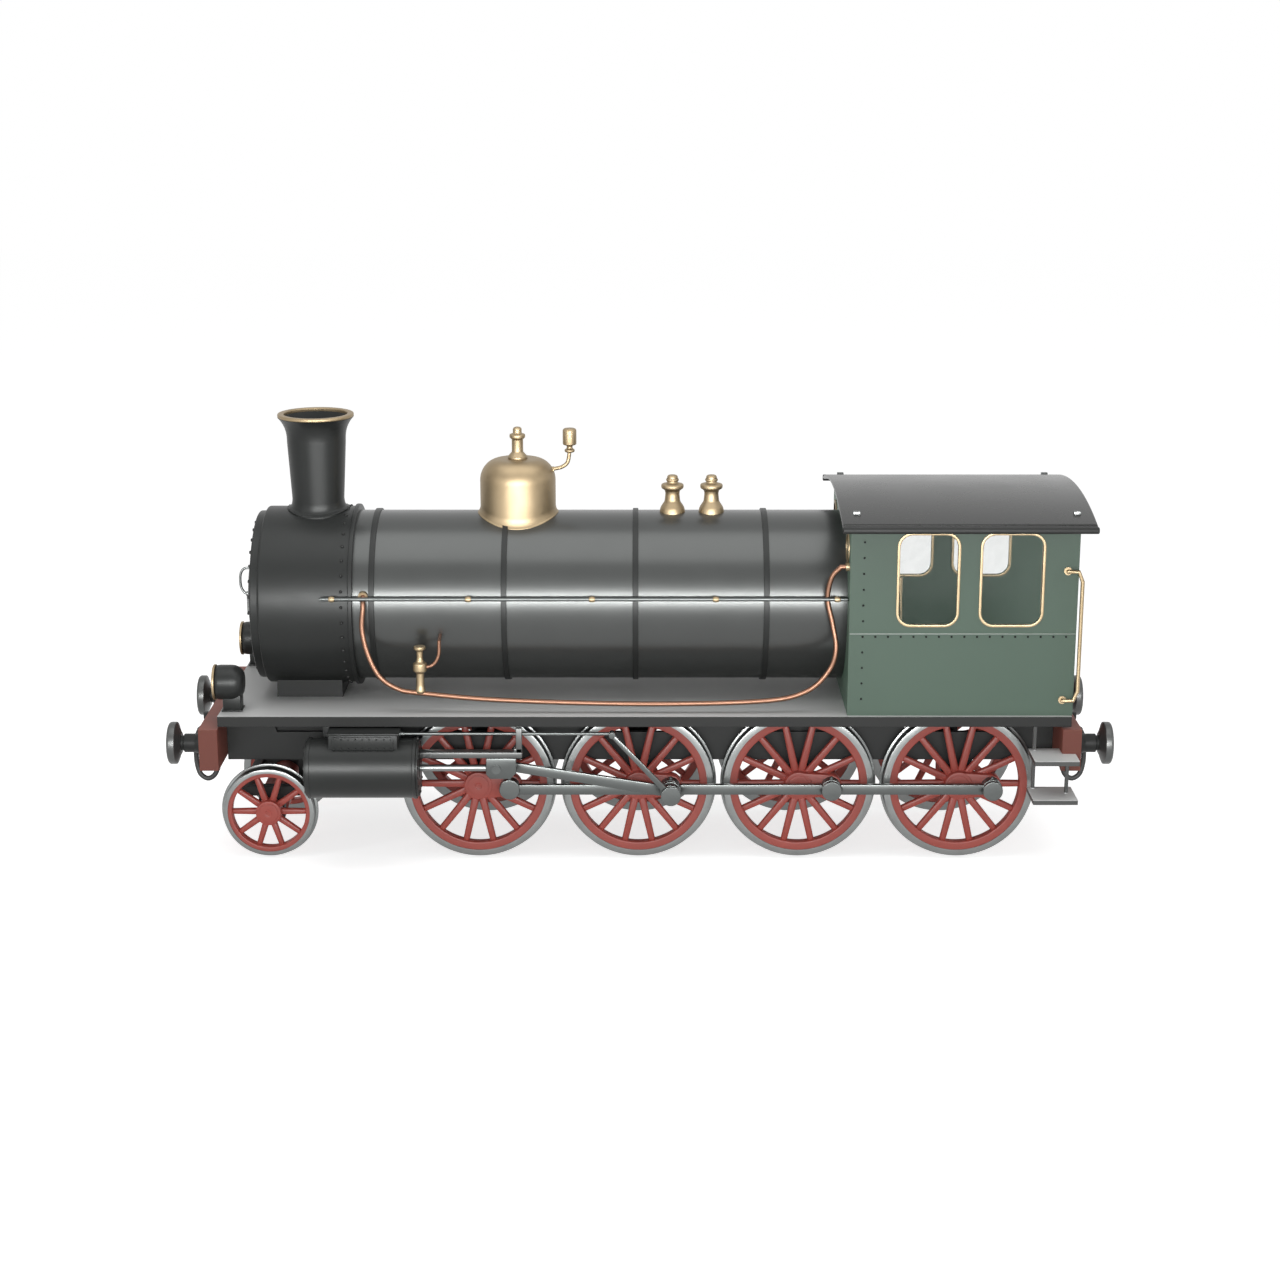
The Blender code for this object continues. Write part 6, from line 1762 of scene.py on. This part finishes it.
    def glazing(self, side: Side) -> None:
        """Panes in the middle of the wall."""
        form, edge = Form(), self.pane_edge
        middle = self.half - self.wall / 2
        for low, high in self.windows:
            pane = rounded_box((low - edge, high + edge), (self.window_z[0] - edge, self.window_z[1] + edge),
                               self.corner_r)
            form.slab(pane, "Y", side.span((middle - self.pane_half, middle + self.pane_half)))
        form.finish(f"cab_{side.label}_panes", GLASS)

    def spectacles(self) -> None:
        """Round front windows in brass rings."""
        rings, panes = Form(), Form()
        bore, outer = self.spectacle_r - 0.002, self.spectacle_r + 0.030
        for side in Side:
            centre = (self.front_x, side.value * self.spectacle_y, self.spectacle_z)
            for low, high in ((-0.012, 0.008), (self.wall - 0.008, self.wall + 0.012)):
                loop = looped([(bore, low), (outer, low), (outer, high), (bore, high)], 0.005)
                rings.turn(loop, "X", centre, ROUND, ring=True)
            middle = self.wall / 2
            panes.bar("X", centre, self.spectacle_r, (middle - self.pane_half, middle + self.pane_half),
                      sides=ROUND)
        rings.finish("spectacle_rings", BRASS)
        panes.finish("spectacle_panes", GLASS)

    def grab_rail(self, side: Side) -> None:
        """Brass rail over the rear edge of a cab side, with a flange at each foot."""
        x, y = self.rear_x + self.rail_back, side.value * (self.half + self.rail_out)
        start, foot = self.rear_x - self.rail_reach, side.value * (self.half - EMBED)
        low, high = self.rail_z
        bend, turn = self.rail_bend, self.rail_out
        route = [(start, foot, low), (start, y, low), (x - turn, y, low), (x, y, low + bend),
                 (x, y, high - bend), (x - turn, y, high), (start, y, high), (start, foot, high)]
        form = Form().tube([Vector(point) for point in route], self.rail_r)
        for z in self.rail_z:
            form.bar("Y", (start, 0, z), 0.040, side.span((self.half - EMBED, self.half + 0.010)))
        form.finish(f"cab_{side.label}_grab_rail", BRASS)


class CarriedParts:
    """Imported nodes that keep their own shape."""

    @staticmethod
    def build() -> None:
        """Dress each of them."""
        sides = [side.label for side in Side]
        carry_over([f"buffer_beam_{end.label}" for end in End], BEAM_PAINT)
        carry_over([*[f"cab_side_{side}" for side in sides], "cab_front"], CAB_GREEN, 0.003)
        carry_over([*[f"main_frame_{side}" for side in sides], "saddle", "pivot_stretcher", "pony_truck"],
                   FRAME_BLACK)
        carry_over(["firebox"], SMOKEBOX_BLACK)
        carry_over(["footplate"], PLATE_PAINT_WITH_PAINTED_LIGHT)
        carry_over([f"steps_{side}" for side in sides], STEP_PAINT_WITH_PAINTED_LIGHT)


@dataclass(frozen=True)
class AreaLamp:
    """Soft rectangular lamp that faces a point."""

    name: str
    place: Point
    aim: Point
    size: Pair
    power: float
    matt: bool = True       # whether matt surfaces take its light, not gloss alone

    def hang(self) -> None:
        """Add the lamp to the scene."""
        data = bpy.data.lights.new(self.name, "AREA")
        data.shape = "RECTANGLE"
        data.size, data.size_y = self.size
        data.energy = self.power
        item = bpy.data.objects.new(self.name, data)
        item.location = self.place
        item.visible_diffuse = self.matt
        item.rotation_euler = (Vector(self.aim) - Vector(self.place)).to_track_quat("-Z", "Y").to_euler()
        bpy.context.scene.collection.objects.link(item)


@dataclass
class Studio:
    """Camera, lamps, world and floor."""

    eye: Point = (0.0, -23.9497, 8.5243)
    tilt: float = math.radians(75)
    lens: float = 67.18
    sensor: float = 36.0
    ambient: float = 0.32
    floor_half: float = 60.0
    floor_drop: float = 0.002
    floor_grey: Colour = (0.80, 0.80, 0.80)
    floor_glow: float = 0.74
    lamps: tuple[AreaLamp, ...] = (
        AreaLamp("front_lamp", (0.0, -14.0, 4.3), (0.0, 0.0, 2.7), (16.0, 4.0), 260),
        AreaLamp("sheen_lamp", (0.0, -13.9, 4.3), (0.0, 0.0, 2.7), (16.0, 1.3), 4200, matt=False),
        AreaLamp("left_lamp", (-15.0, -9.0, 6.0), (-1.0, 0.0, 2.6), (2.2, 9.0), 260),
        AreaLamp("right_lamp", (16.0, -4.0, 6.0), (1.0, 0.0, 2.6), (2.2, 9.0), 240),
        AreaLamp("top_lamp", (0.0, -2.0, 13.0), (0.0, 0.0, 2.0), (16.0, 9.0), 900))

    def build(self) -> None:
        """Set the scene up."""
        self.camera()
        self.world()
        self.floor()
        for lamp in self.lamps:
            lamp.hang()
        bpy.context.scene.view_settings.view_transform = "Standard"

    def camera(self) -> None:
        """Camera at the photograph's angle."""
        data = bpy.data.cameras.new("camera")
        data.sensor_width = self.sensor
        data.lens = self.lens
        camera = bpy.data.objects.new("camera", data)
        camera.location = self.eye
        camera.rotation_euler = (self.tilt, 0, 0)
        bpy.context.scene.collection.objects.link(camera)
        bpy.context.scene.camera = camera

    def world(self) -> None:
        """White background for the camera, metal and glass, and a softer sky for the light."""
        world = bpy.data.worlds.new("studio")
        bpy.context.scene.world = world
        tree = Tree(world)
        world.cycles.sampling_method = "NONE"
        strength = tree.seen() * (1.0 - self.ambient) + self.ambient
        tree.show(tree.node("ShaderNodeBackground", {}, {"Color": (1.0, 1.0, 1.0), "Strength": strength}))

    def floor(self) -> None:
        """Pale floor that keeps the shadow and fades into the white background."""
        bm = bmesh.new()
        bmesh.ops.create_grid(bm, x_segments=1, y_segments=1, size=self.floor_half)
        bmesh.ops.translate(bm, verts=bm.verts[:], vec=(0, 0, -self.floor_drop))
        mesh = bpy.data.meshes.new("floor")
        bm.to_mesh(mesh)
        bm.free()
        floor = bpy.data.objects.new("floor", mesh)
        bpy.context.scene.collection.objects.link(floor)
        tree = Tree(bpy.data.materials.new("floor"))
        paint_layer = tree.node("ShaderNodeBsdfDiffuse", {}, {"Color": self.floor_grey})
        glow = tree.node("ShaderNodeEmission", {}, {"Strength": tree.seen() * self.floor_glow})
        tree.show(tree.node("ShaderNodeAddShader", {}, {0: paint_layer, 1: glow}))
        mesh.materials.append(tree.owner)


def axle_of(node: str) -> Point:
    """Middle of a packed axle's box at rest."""
    low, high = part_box(node)
    return tuple((low + high) / 2)


def wheel_rows() -> list[Wheels]:
    """Every axle of the locomotive, front to rear."""
    thin = ((0.9803, 1.030),)
    collars = {"1": ((0.9803, 0.990),), "2": ((1.0503, 1.140), (1.180, 1.192)), "3": thin, "4": thin}
    rows: list[Wheels] = [DrivingWheels(
        number, f"wheelset_{number}", axle_of(f"axle_{number}"), spokes=14, flange_r=0.795, tread_r=0.765,
        tyre_inner=0.700, rim_inner=0.622, hub_r=0.145, hub_y=-0.850, axle_r=0.095,
        spoke_width=(0.078, 0.066), collars=row) for number, row in collars.items()]
    return [*rows, PonyWheelset(
        "pony", "pony_wheelset", axle_of("axle_pony"), spokes=10, flange_r=0.495, tread_r=0.465,
        tyre_inner=0.420, rim_inner=0.375, hub_r=0.130, hub_y=-0.835, axle_r=0.085,
        spoke_width=(0.068, 0.056))]


def main() -> None:
    """Build the locomotive's looks from front to rear, then the studio round it."""
    logging.basicConfig(level=logging.INFO, format="%(name)s: %(message)s")
    for part in (Boiler(), Smokebox(), SmokeboxDoor(), Chimney(), SteamDome(), SafetyValves(), Handrails(),
                 FeedPipes(), Cylinders(), *wheel_rows(), Rods(), Crossheads(), Lamps(), Buffers(),
                 BrakeHoses(), Cab(), CarriedParts(), Studio()):
        part.build()
        LOG.info("%s built", type(part).__name__)


if __name__ == "__main__":
    main()
